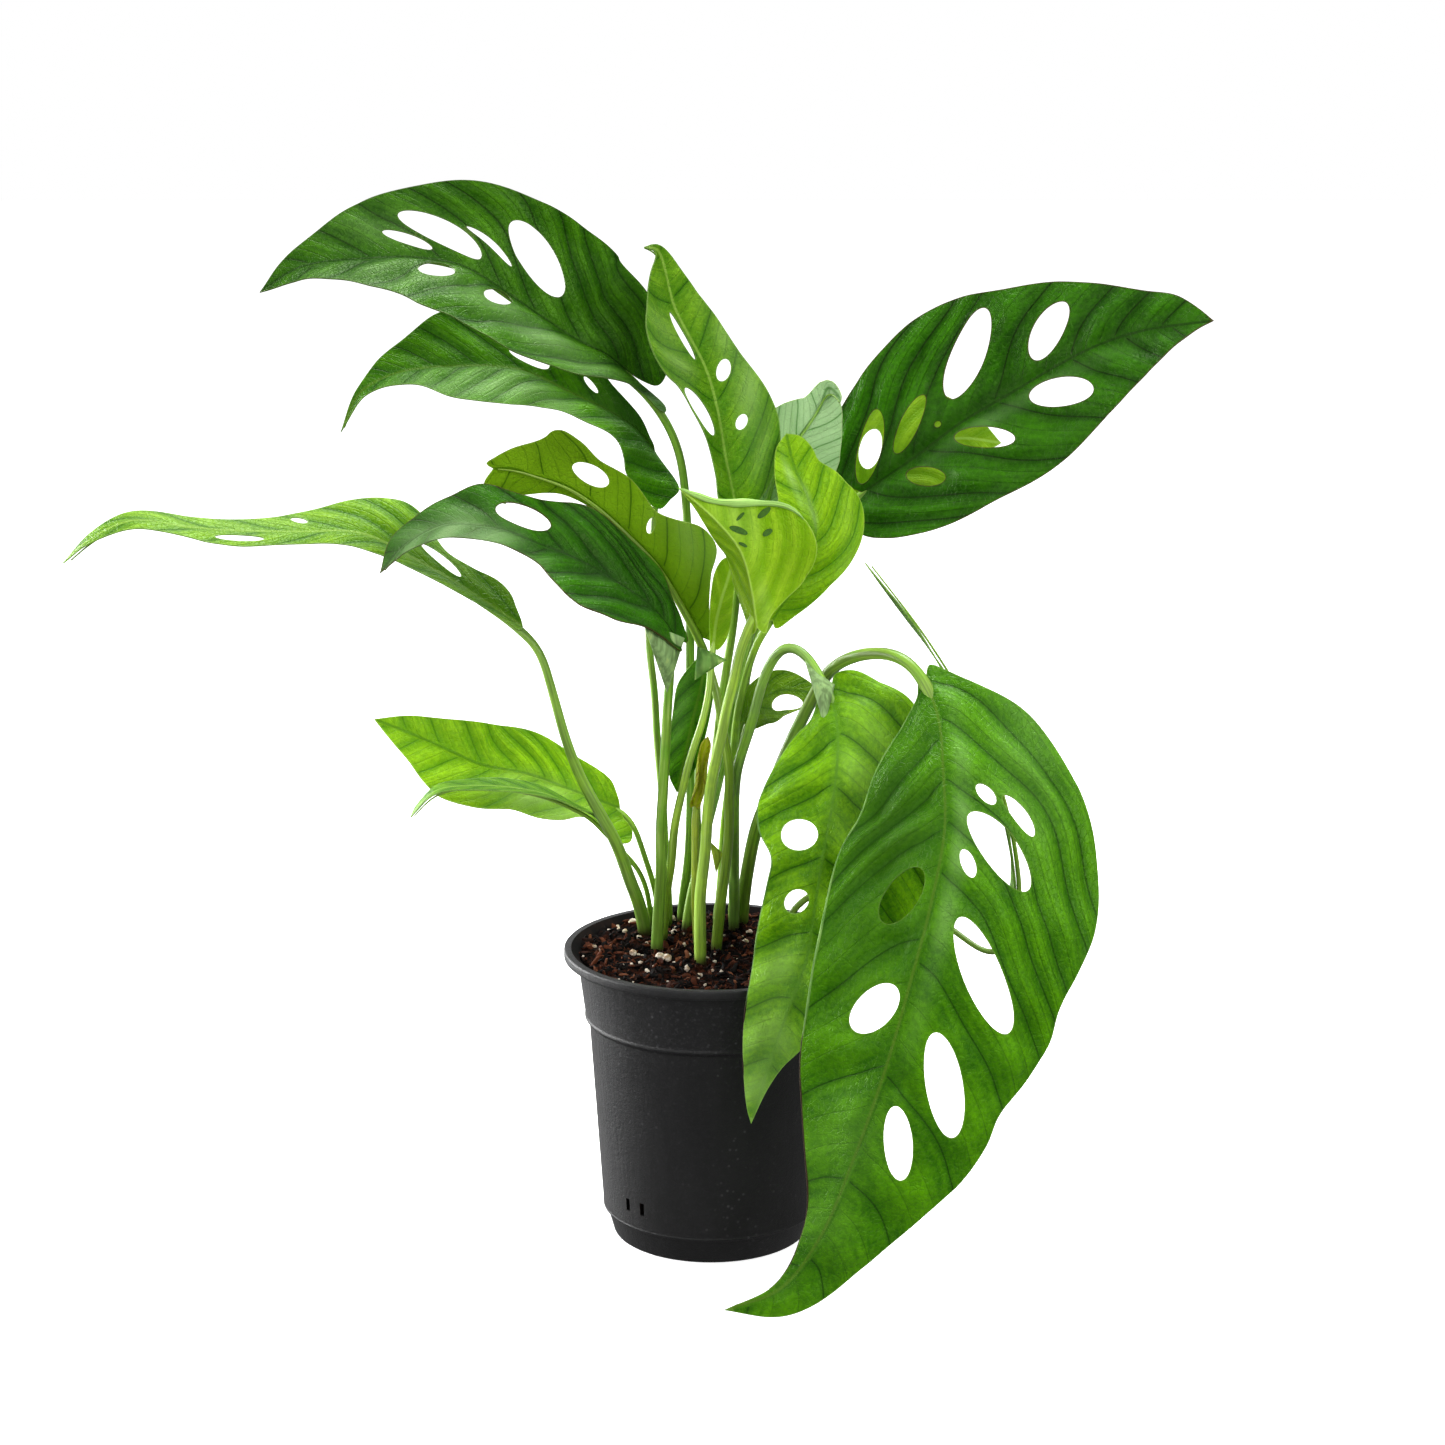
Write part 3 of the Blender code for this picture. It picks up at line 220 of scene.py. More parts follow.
# Small folds of tissue beside the stalks: name, corners in mm, bulge in mm, palette
FOLDS = (
    ("fold_mid_left", ((-24, -31, 247), (-9.5, -16, 239), (-16, -12, 217)), 3.0, "joint"),
    ("fold_small_dark", ((-5, -7.5, 234), (6, -8, 229), (-6, -7, 221)), 2.0, "edge"),
    ("fold_hanging", ((34.5, -30, 234), (45.5, -36, 226), (41.5, -44, 212)), 3.0, "joint"),
    ("fold_yellow", ((-0.5, -2, 157), (4.6, -2, 152), (2, -2, 144)), 1.0, "yellow"),
)
FOLD_STEPS = 14
FOLD_DOME = 27
FOLD_HOLLOW = 2.4
FOLD_STRIPES = (0.3, 0.3, 0.03)

# Leaves, in mm: the rib and the stalk as points in space, the upper side's direction from stalk to tip, and
# each side's edge as (along the rib, away from the rib). A bend is the half width that its curl is spread
# over, then fold and curl in degrees at base and tip. A wave is height, number along the rib and start. A
# hole is along, across (left side negative), length, width and slant from the rib.
LEAVES = {
    "leaf_top_left": dict(
        rib=[
            (-30, 12, 334), (-38, 9, 341), (-49, 6, 347), (-62, 2, 356), (-77, -2, 367), (-90, -5, 375),
            (-106, -6, 378), (-122, -8, 378), (-148, -10, 375), (-163, -12, 366)],
        face=[(0.1, -0.6, 0.8), (0, -0.6, 0.8)], wave=(1.5, 3, 0),
        right=dict(bend=(38, 30, 20, 20, 20), edge=[
            (-6, 0.8), (-12, 3), (-12.5, 8), (-7, 16), (2, 21), (14, 30), (32, 37), (47, 37), (65, 34),
            (83, 31), (97, 26), (116, 19), (133, 8)]),
        left=dict(bend=(34, 20, 10, -10, -20), edge=[
            (-6, 0.8), (-13, 1), (-18, 4), (-18, 8), (-14, 10), (-8, 8), (-1, 8), (15, 20), (33, 26),
            (51, 32), (69, 31), (90, 28), (99, 24), (116, 14), (140, 6)]),
        holes=[
            (52, 17, 32, 13, 22), (84, 11, 30, 9, 22), (95, 7, 18, 4, 20), (68, 12, 19, 2.4, 17),
            (84, -7, 14, 9, 10), (59, -7, 14, 8, 45)],
        stalk=[
            (-26, 12, 328), (-21, 14, 322), (-16, 16, 314), (-12, 18, 304), (-10, 20, 292), (-9, 22, 277),
            (-8, 24, 257), (-8, 27, 229), (-8, 30, 205), (-8, 32, 180), (-8, 34, 160), (-9, 37, 138),
            (-11, 40, 123), (-12, 43, 111)],
        radius=(1.5, 2)),
    "leaf_second_left": dict(
        rib=[
            (-21, 30, 302), (-27, 27, 310), (-36, 24, 317), (-51, 20, 325), (-71, 14, 335), (-93, 8, 337),
            (-115, 4, 335), (-129, 2, 328), (-137, 2, 313)],
        face=[(0.1, -0.6, 0.8), (0, -0.6, 0.8)], wave=(1.5, 3, 0.3),
        right=dict(bend=(27, 30, 20, 10, 10), edge=[
            (2, 1), (7, 2), (13, 4.5), (28, 10), (43, 20), (62, 25), (80, 23), (93, 20), (105, 12),
            (113, 8), (123, 2.5)]),
        left=dict(bend=(28, 15, 10, -70, -20), edge=[
            (-6, 0.8), (-13, 1.5), (-17, 4), (-16, 11), (-15, 17), (-8, 19), (0, 19), (11, 16), (20, 11.5),
            (33, 12), (43, 12), (53, 15), (69, 19), (82, 19), (92, 16), (101, 10), (113, 6), (125, 3)]),
        holes=[(60, 6, 15, 6, 9), (35, 6, 8, 2.4, 26)],
        stalk=[
            (-20, 32, 298), (-21, 33, 287), (-22, 33, 271), (-23, 33, 255), (-24, 33, 240), (-24, 33, 226),
            (-22, 33, 208), (-21, 33, 188), (-19, 34, 164), (-18, 36, 139), (-17, 38, 122), (-17, 39, 111)],
        radius=(1.3, 1.7)),
    "leaf_top_centre": dict(
        rib=[
            (10, 2, 283), (6, 3, 302), (2, 5, 324), (-2, 5, 337), (-13, 2, 359), (-19, -2, 380),
            (-24, -8, 382)],
        face=[(0.3, -0.9, 0.2), (0.3, -0.9, 0.2)], wave=(1, 3, 0.1),
        right=dict(bend=(22, 20, 10, 10, 10), edge=[
            (-2, 3), (2, 8), (8, 14), (18, 20), (31, 22), (43, 19), (56, 14), (72, 12), (86, 9), (96, 5),
            (104, 2)]),
        left=dict(bend=(21, 25, 20, 10, 20), edge=[
            (-1, 4), (5, 8), (16, 7), (28, 8), (41, 13), (54, 17), (66, 22), (77, 21), (86, 13), (97, 7),
            (103, 2)]),
        holes=[(70, -3, 20, 3, 1), (41, -9, 24, 6, 24), (52, 6, 8, 5, 39), (33, 8, 6, 4, 36)],
        stalk=[
            (11, 5, 270), (10, 8, 253), (8, 12, 234), (6, 14, 221), (4, 17, 206), (2, 20, 187),
            (0, 23, 167), (-3, 27, 145), (-7, 30, 130), (-10, 32, 111)],
        radius=(1.5, 2)),
    "leaf_top_right": dict(
        rib=[
            (58, 36, 285), (77, 31, 299), (94, 26, 313), (111, 22, 324), (139, 12, 342), (158, 5, 350),
            (184, -4, 355)],
        face=[(0, -0.9, 0.45), (0, -0.9, 0.45)], wave=(1.5, 3, 0.5),
        right=dict(bend=(36, 10, 5, -10, -20), edge=[
            (-9, 5), (-8, 14), (0, 21), (11, 26), (24, 30), (42, 33), (64, 34), (83, 32), (100, 27),
            (116, 21), (128, 15), (139, 7), (147, 2)]),
        left=dict(bend=(43, 20, 10, -10, -20), edge=[
            (-3, 6), (-3, 17), (4, 27), (15, 33), (40, 40), (52, 43), (70, 41), (86, 35), (99, 30),
            (112, 23), (127, 15), (139, 11), (147, 5)]),
        holes=[
            (13, -13, 30, 9, 41), (31, -11, 25, 7, 26), (63, -21, 36, 13, 38), (93, -13, 23, 11, 36),
            (88, 10, 27, 11, 22), (53, 10, 25, 8, 32), (25, 9, 16, 7, 41), (40, -4.6, 2.6, 2.2, 0)],
        stalk=[
            (43, 35, 270), (30, 33, 252), (20, 31, 237), (15, 30, 223), (12, 30, 199), (10, 32, 180),
            (8, 34, 160), (6, 37, 138), (4, 39, 123), (2, 41, 111)],
        radius=(1.6, 2)),
    "leaf_back_pale": dict(
        rib=[
            (20, 15, 280), (25, 17, 297), (34, 18, 310), (41, 18, 320), (44, 16, 328), (48, 12, 325),
            (48, 10, 322)],
        face=[(0.1, 0.95, 0.3), (0.1, 0.95, 0.3)], wave=(0.8, 2, 0.1),
        right=dict(bend=(18, 0, 0, 0, 0), edge=[
            (-3, 3), (2, 9), (12, 15), (26, 17), (38, 13), (48, 7), (56, 3)]),
        left=dict(bend=(22, 0, 0, 10, 10), edge=[
            (-3, 3), (2, 11), (12, 19), (26, 21), (38, 16), (48, 8), (56, 3)]),
        stalk=[
            (19, 18, 260), (16, 20, 235), (11, 22, 215), (7, 25, 194), (3, 28, 171), (-2, 31, 150),
            (-4, 34, 135), (-4, 36, 122), (-4, 39, 111)],
        radius=(1.2, 1.6)),
    "leaf_behind_right": dict(
        rib=[(54, 52, 279), (66, 54, 291), (81, 56, 300), (97, 57, 303), (113, 58, 301)],
        face=[(0, -0.9, 0.45), (0, -0.9, 0.45)], wave=(0.8, 2, 0.5),
        right=dict(bend=(20, 10, 5, -10, -10), edge=[
            (-3, 4), (3, 12), (15, 19), (32, 20), (48, 14), (60, 6)]),
        left=dict(bend=(24, 10, 5, -10, -10), edge=[
            (-3, 4), (2, 12), (12, 20), (28, 25), (42, 21), (55, 11)]),
        holes=[(19, -9, 15, 8, 45)],
        stalk=[
            (44, 52, 261), (32, 50, 250), (22, 48, 237), (18, 46, 227), (15, 45, 215), (13, 44, 204),
            (11, 43, 190), (10, 42, 170), (9, 42, 149), (9, 43, 128), (8, 44, 111)],
        radius=(1.2, 1.6)),
    "leaf_young_front": dict(
        rib=[(17, -36, 247), (15, -38, 261), (11, -41, 276), (2, -44, 288), (-11, -46, 300)],
        face=[(0.2, -0.9, 0.4), (-0.1, -0.9, 0.4)], wave=(0.8, 3, 0),
        right=dict(bend=(33, -10, 0, 20, 60), edge=[
            (-3, 3), (3, 6), (8, 12), (14, 21), (25, 27), (32, 25), (40, 15), (50, 5), (57, 2)]),
        left=dict(bend=(20, -70, -70, -10, -10), edge=[
            (-3, 3), (5, 8), (15, 12), (30, 12), (45, 8), (55, 3)]),
        stalk=[
            (17, -34, 253), (14, -33, 246), (11, -31, 238), (9, -29, 227), (6, -27, 215), (4, -25, 203),
            (1, -23, 190), (-1, -21, 174), (-2, -18, 157), (-4, -15, 139), (-4, -12, 125), (-4, -10, 111)],
        radius=(1.8, 2.4)),
    "leaf_young_back": dict(
        rib=[(23, -12, 245), (34, -9, 262), (39, -6, 277), (36, -4, 290), (31, -2, 301), (28, 0, 313)],
        face=[(0.3, -0.9, 0.3), (-0.1, -0.9, 0.4)], wave=(0.8, 2, 0),
        right=dict(bend=(22, -10, -10, -20, -20), edge=[
            (-2, 3), (7, 7), (20, 12), (31, 17), (42, 21), (52, 16), (61, 10), (68, 8.5), (73, 5)]),
        left=dict(bend=(24, 10, 10, 20, 20), edge=[
            (-2, 3), (6, 8), (20, 14), (38, 16), (55, 11), (64, 7.5), (71, 4.5)]),
        stalk=[
            (21, -10, 242), (18, -8, 237), (16, -5, 231), (14, -1, 224), (12, 4, 214), (10, 8, 204),
            (9, 11, 192), (7, 14, 175), (5, 18, 156), (4, 22, 135), (2, 25, 111)],
        radius=(1.4, 1.7)),
    "leaf_mid_left": dict(
        rib=[
            (-12, -14, 238), (-21, -18, 251), (-35, -22, 262), (-47, -26, 270), (-62, -30, 277),
            (-76, -33, 283), (-96, -36, 285), (-110, -38, 278), (-119, -40, 268)],
        face=[(0.1, -0.4, 0.9), (0, -0.4, 0.9)], wave=(1.5, 3, 0.2),
        right=dict(bend=(28, 20, 20, 0, 0), edge=[
            (-4, 3), (4, 7), (12, 10), (20, 17), (35, 21), (53, 24), (66, 21), (78, 18), (90, 18),
            (100, 12), (110, 8), (120, 6)]),
        left=dict(bend=(26, 10, 0, -20, -20), edge=[
            (-3, 4), (8, 10), (20, 16), (35, 25), (48, 26), (60, 19), (68, 12), (81, 10), (94, 9),
            (108, 7), (122, 3)]),
        holes=[(74, 9, 21, 10, -5)],
        stalk=[
            (-15, -12, 227), (-16, -10, 214), (-17, -7, 196), (-18, -5, 178), (-19, -3, 162),
            (-19, 0, 145), (-20, 3, 130), (-21, 6, 111)],
        radius=(1.7, 2.5)),
    "leaf_mid_turned": dict(
        rib=[
            (-3, 5, 235), (-8, 4, 244), (-13, 3, 253), (-19, 2, 263), (-25, 1, 270), (-31, 0, 276),
            (-38, -1, 283), (-48, -3, 291), (-55, -4, 295), (-65, -5, 298), (-73, -6, 301), (-80, -7, 301)],
        face=[(0.1, 0.9, 0.3), (0, 0.9, 0.2)], wave=(1, 3, 0.2),
        right=dict(bend=(22, 40, 0, 10, 10), edge=[
            (0, 1.5), (10, 2.5), (30, 2.5), (51, 2.2), (68, 2.8), (82, 5), (89, 7), (94, 10), (98, 14),
            (103, 15), (109, 12), (111, 6)]),
        left=dict(bend=(24, 0, 0, 10, 10), edge=[
            (-3, 3), (9, 8), (20, 15), (28, 22), (34, 22), (40, 18), (48, 14), (63, 16), (75, 15),
            (81, 18), (86, 20), (91, 18), (102, 7), (110, 2)]),
        holes=[(74, -8.5, 13, 7.5, -3), (46, -8.5, 7, 3, 63)],
        stalk=[
            (-2, 4, 229), (-1, 2, 225), (1, -2, 220), (3, -4, 212), (5, -5, 199), (7, -5, 188),
            (7, -4, 174), (7, -3, 162), (6, -1, 149), (4, 1, 133), (2, 5, 111)],
        radius=(1.5, 2.2)),
    "leaf_far_left": dict(
        rib=[
            (-69, -18, 244), (-89, -15, 257), (-107, -11, 267), (-129, -12, 278), (-151, -15, 279),
            (-173, -19, 280), (-190, -23, 282), (-210, -27, 285), (-226, -30, 278), (-235, -31, 270)],
        face=[(0.3, -0.5, 0.85), (0.15, -0.4, 0.9), (0.05, -0.1, 1), (0, 0, 1)], wave=(1.5, 3, 0.2),
        right=dict(bend=(24, 10, 10, 0, 0), edge=[
            (1, 1), (6, 5), (11, 9), (18, 11), (28, 10), (39, 10), (44, 13), (50, 19), (58, 22), (66, 20),
            (80, 15), (93, 12), (105, 9), (125, 8), (145, 9), (160, 8), (175, 3)]),
        left=dict(bend=(24, 0, -25, -10, -20), edge=[
            (0, 3), (10, 3), (24, 4), (38, 5), (52, 6), (66, 8), (85, 7), (100, 8), (114, 10), (124, 9),
            (135, 6), (155, 5), (172, 2)]),
        holes=[(39, 5.5, 19, 4, 14), (92, 7, 7, 3.5, 28), (114, -5, 18, 4, 0)],
        stalk=[
            (-64, -18, 236), (-59, -17, 220), (-54, -15, 200), (-49, -12, 185), (-42, -11, 171),
            (-36, -4, 157), (-31, 8, 138), (-28, 18, 126), (-26, 27, 111)],
        radius=(1.4, 2.9)),
    "leaf_low_left": dict(
        rib=[
            (-35, 17, 165), (-54, 15, 173), (-71, 13, 180), (-88, 11, 184), (-102, 9, 191), (-114, 7, 197),
            (-128, 6, 203)],
        face=[(0.1, -0.8, 0.6), (0, -0.8, 0.6)], wave=(1.2, 3, 0.2),
        right=dict(bend=(20, 10, 10, 0, 0), edge=[
            (1, 2), (4, 6), (7, 9), (14, 11.5), (28, 14), (45, 17), (60, 16), (75, 11), (90, 6)]),
        left=dict(bend=(22, 0, 0, 0, 0), edge=[
            (-2, 3), (-7, 7), (-7.5, 12), (-2, 14), (4, 10), (13, 9), (20, 13), (29, 16), (44, 16),
            (56, 18), (67, 19), (75, 16), (83, 11), (92, 6)]),
        stalk=[
            (-32, 16, 162), (-29, 15, 157), (-26, 15, 147), (-23, 17, 137), (-21, 20, 127), (-21, 25, 111)],
        radius=(1, 1.3)),
    "leaf_low_sliver": dict(
        rib=[
            (-40, 0, 161), (-44, -2, 167), (-51, -7, 172), (-61, -12, 178), (-76, -16, 182),
            (-90, -18, 183), (-102, -21, 182), (-109, -22, 176), (-112, -23, 172)],
        face=[(0.1, -0.05, 1), (0, -0.05, 1)], wave=(0.5, 2, 0.2),
        right=dict(bend=(12, 5, 5, 0, 0), edge=[(-1, 1.5), (8, 4), (25, 8), (45, 8), (65, 6), (80, 3)]),
        left=dict(bend=(12, 5, 5, 0, 0), edge=[(-1, 1.5), (8, 4), (25, 8), (45, 8), (65, 6), (80, 3)]),
        stalk=[
            (-38, 1, 157), (-33, 5, 150), (-28, 11, 142), (-25, 19, 131), (-24, 28, 120), (-23, 35, 111)],
        radius=(0.9, 1.2)),
    "leaf_big_front": dict(
        rib=[
            (77, -60, 233), (81, -72, 221), (82, -84, 205), (82, -94, 187), (77, -104, 163),
            (70, -110, 137), (62, -112, 107), (51, -109, 71), (39, -104, 38), (25, -100, 17), (5, -96, 7)],
        face=[(0.05, -0.95, 0.3), (0, -1, 0)], wave=(2, 3, 0),
        right=dict(bend=(48, -30, -20, 10, 10), edge=[
            (-3, 2), (4, 5), (12, 13), (35, 26), (56, 33), (76, 37), (111, 36), (138, 33), (156, 30),
            (175, 23), (193, 15), (208, 9), (225, 5), (245, 2)]),
        left=dict(bend=(56, -5, 5, -20, -20), edge=[
            (-6, 3), (-2, 9), (8, 20), (20, 37), (32, 47), (46, 53), (70, 62), (84, 62), (96, 59),
            (109, 56), (124, 56), (137, 52), (153, 45), (164, 44), (178, 40), (198, 30), (217, 20),
            (238, 13), (250, 8)]),
        holes=[
            (45, -15, 9, 5, 46), (51, -27, 16, 5, 47), (62, -21, 32, 12, 52), (68, -10, 10, 5, 34),
            (105, -25, 46, 14, 38), (84, 11, 24, 12, 22), (126, 10, 23, 13, 29), (146, -22, 40, 13, 27),
            (171, -13, 29, 10, 23)],
        stalk=[
            (73, -57, 237), (67, -51, 240), (59, -42, 239), (51, -32, 235), (44, -22, 228), (37, -12, 213),
            (29, -6, 194), (23, 5, 175), (18, 15, 159), (15, 24, 142), (13, 33, 125), (12, 40, 111)],
        radius=(2.1, 2.8)),
    "leaf_hanging_pale": dict(
        rib=[
            (44, -34, 223), (46, -44, 214), (46, -52, 202), (44, -58, 186), (41, -61, 170), (38, -63, 150),
            (35, -64, 130), (27, -65, 107), (21, -66, 88), (15, -68, 68)],
        face=[(0, -0.95, 0.3), (0, -1, 0)], wave=(1.5, 3, 0),
        right=dict(bend=(32, -20, -10, -10, -10), edge=[
            (-4, 3), (2, 6), (9, 10), (17, 17), (32, 24), (50, 28), (59, 26), (68, 19), (78, 19),
            (101, 20), (118, 17), (136, 13), (151, 8), (163, 3)]),
        left=dict(bend=(34, 5, 5, -20, -20), edge=[
            (-7, 3), (-7, 10), (2, 20), (12, 30), (26, 36), (45, 40), (67, 42), (86, 41), (95, 35),
            (103, 22), (115, 16), (134, 10), (144, 5), (154, 2)]),
        holes=[(58, 10, 14, 11, 76), (82, 7, 10, 8, 43)],
        stalk=[
            (41, -32, 226), (38, -29, 232), (34, -26, 236), (30, -23, 238), (26, -20, 236), (24, -18, 233),
            (21, -16, 227), (18, -13, 217), (16, -9, 207), (13, -4, 196), (10, 0, 185), (9, 5, 171),
            (9, 11, 157), (9, 20, 137), (9, 27, 123), (9, 33, 111)],
        radius=(1.8, 2.2)),
    "leaf_edge_on": dict(
        rib=[
            (111, -20, 119), (114, -24, 138), (112, -28, 159), (107, -32, 181), (97, -36, 209),
            (78, -38, 242), (56, -36, 271)],
        face=[(-0.9, -0.05, 0.4), (-0.9, -0.05, 0.4)], wave=(0.5, 2, 0),
        right=dict(bend=(24, 0, 0, 0, 0), edge=[
            (-4, 4), (2, 12), (18, 20), (45, 24), (80, 21), (115, 13), (145, 5)]),
        left=dict(bend=(24, 0, 0, 0, 0), edge=[
            (-4, 4), (2, 12), (18, 20), (45, 24), (80, 21), (115, 13), (145, 5)]),
        holes=[(52, 10, 22, 8, 30), (52, -10, 22, 8, 30)],
        stalk=[
            (108, -18, 117), (101, -12, 118), (92, -4, 123), (75, 6, 131), (56, 16, 134), (40, 22, 129),
            (31, 25, 120), (29, 26, 111)],
        radius=(1.1, 1.5)),
    "leaf_small_inner": dict(
        rib=[(13, 14, 200), (18, 12, 208), (26, 10, 213), (35, 9, 213), (43, 8, 211)],
        face=[(0, -0.8, 0.6), (0, -0.8, 0.6)], wave=(0.5, 2, 0),
        right=dict(bend=(12, 0, 0, 10, 10), edge=[(-2, 2), (3, 7), (12, 11), (22, 11), (31, 6)]),
        left=dict(bend=(9, 0, 0, 10, 10), edge=[(-2, 2), (3, 5), (12, 8), (22, 8), (31, 4)]),
        holes=[(22, 5.2, 15, 7, 0)],
        stalk=[(12, 15, 192), (11, 16, 184), (9, 20, 167), (7, 25, 150), (5, 30, 132), (4, 35, 111)],
        radius=(0.9, 1.4)),
    "leaf_small_dark": dict(
        rib=[(-2, 10, 224), (-4, 8, 214), (-7, 6, 202), (-10, 6, 188), (-13, 6, 174)],
        face=[(0.2, -0.9, 0.2), (0.2, -0.9, 0.2)], wave=(0.5, 2, 0),
        right=dict(bend=(9, 0, 0, 0, 0), edge=[(-2, 2), (3, 6), (10, 9), (22, 8), (36, 6.5), (46, 4)]),
        left=dict(bend=(9, 0, 0, 10, 10), edge=[(-1, 1.5), (4, 4), (16, 6), (32, 6), (45, 4)]),
        stalk=[
            (-2, 13, 226), (-3, 17, 220), (-4, 18, 211), (-5, 18, 196), (-5, 17, 180), (-5, 16, 160),
            (-4, 16, 144), (-4, 17, 128), (-5, 19, 111)],
        radius=(1.1, 1.5)),
    "leaf_rolled": dict(
        rib=[(-6, 2, 170), (-4, 1, 178), (-3, 0, 188), (-1, -1, 198)],
        face=[(0, -1, 0.2), (0, -1, 0.2)], wave=(0, 2, 0),
        right=dict(bend=(4, 0, 0, 120, 120), edge=[(-1, 1.5), (4, 4), (14, 5), (24, 3)]),
        left=dict(bend=(4, 0, 0, 120, 120), edge=[(-1, 1.5), (4, 4), (14, 5), (24, 3)]),
        stalk=[(-6, 3, 164), (-6, 6, 151), (-6, 8, 139), (-6, 11, 126), (-5, 12, 111)],
        radius=(1.3, 2.0)),
    "leaf_inner_bright": dict(
        rib=[(1, -4, 233), (2, -4, 242), (4, -5, 251), (7, -6, 261), (9, -8, 269)],
        face=[(0, -1, 0.2), (0, -1, 0.2)], wave=(0, 2, 0),
        right=dict(bend=(8, 0, 0, 0, 0), edge=[(-1, 1.5), (3, 4.5), (9, 5.5), (16, 5), (24, 3.5), (32, 2)]),
        left=dict(bend=(8, 0, 0, 0, 0), edge=[(-1, 1), (4, 1.8), (12, 3), (20, 4.5), (28, 5.5), (34, 4)]),
        stalk=[
            (0, -5, 228), (0, -7, 221), (-1, -9, 215), (-2, -10, 209), (-5, -11, 200), (-8, -11, 191),
            (-10, -10, 182), (-12, -8, 173), (-14, -4, 162), (-15, 2, 148), (-17, 8, 135), (-18, 13, 123),
            (-19, 18, 111)],
        radius=(1.3, 2)),
}

# A leaf's look: material slot, palette, height of the tissue between its side veins, their slant and bend
# (how far they run on towards the tip for each mm outwards, at the rib and more at the edge), and spacing
LOOKS = {
    "leaf_top_left": ("leaf_dark", "deep", 2.0, 1.35, 0.1, 17),
    "leaf_second_left": ("leaf_mid", "grass", 1.3, 1.3, 0.1, 16),
    "leaf_top_centre": ("leaf_mid", "fresh", 1.7, 0.5, 0.9, 18),
    "leaf_top_right": ("leaf_dark", "dark", 2.2, 0.9, 0.6, 18),
    "leaf_back_pale": ("leaf_mid", "pale", 0.6, 1.2, 0.3, 13),
    "leaf_behind_right": ("leaf_young", "lime", 0.7, 1.0, 0.5, 12),
    "leaf_young_front": ("leaf_young", "lime", 0.6, 1.0, 0.5, 12),
    "leaf_young_back": ("leaf_young", "bright", 1.2, 0.7, 0.5, 14),
    "leaf_mid_left": ("leaf_dark", "dark", 1.8, 0.9, 1.0, 18),
    "leaf_mid_turned": ("leaf_mid", "olive", 0.8, 0.5, 0.5, 19),
    "leaf_far_left": ("leaf_mid", "leafy", 1.2, 2.4, 0.3, 24),
    "leaf_low_left": ("leaf_young", "bright", 1.0, 0.8, 0.4, 14),
    "leaf_low_sliver": ("leaf_young", "fresh", 0.3, 1.1, 0.5, 12),
    "leaf_big_front": ("leaf_mid", "grass", 2.0, 0.5, 0.7, 30),
    "leaf_hanging_pale": ("leaf_mid", "quilt", 2.4, 0.45, 0.4, 24),
    "leaf_edge_on": ("leaf_mid", "fresh", 0.3, 1.0, 0.5, 12),
    "leaf_small_inner": ("leaf_mid", "olive", 0.4, 1.0, 0.5, 12),
    "leaf_small_dark": ("leaf_dark", "grass", 0.8, 1.0, 0.5, 12),
    "leaf_rolled": ("leaf_young", "yellow", 0.0, 1.0, 0.5, 9),
    "leaf_inner_bright": ("leaf_young", "lime", 0.2, 1.0, 0.5, 9),
}

# Where side veins leave the rib in the photograph, in mm from the stalk, left and right
VEIN_STARTS = {
    "leaf_top_left": ((4, 28, 59, 84, 108, 128), (-24, -8, 5, 22, 42, 57, 82, 108, 130)),
    "leaf_top_centre": ((4, 22, 42, 60, 82), (-4, 14, 42, 62, 84)),
    "leaf_top_right": ((-12, 7, 24, 62, 96, 114, 132), (-15, 2, 30, 63, 96, 118)),
    "leaf_mid_left": ((-4, 17, 40, 62, 88), (2, 10, 18, 37, 56, 82, 104)),
    "leaf_low_left": ((14, 33, 52, 65, 82), (10, 22, 31, 42, 56, 74)),
    "leaf_big_front": ((0, 16, 39, 54, 72, 105, 147, 190, 225), (2, 24, 40, 57, 97, 144, 190, 230)),
    "leaf_hanging_pale": ((-1, 18, 38, 64, 92, 120), (0, 20, 37, 64, 92, 118, 142)),
}
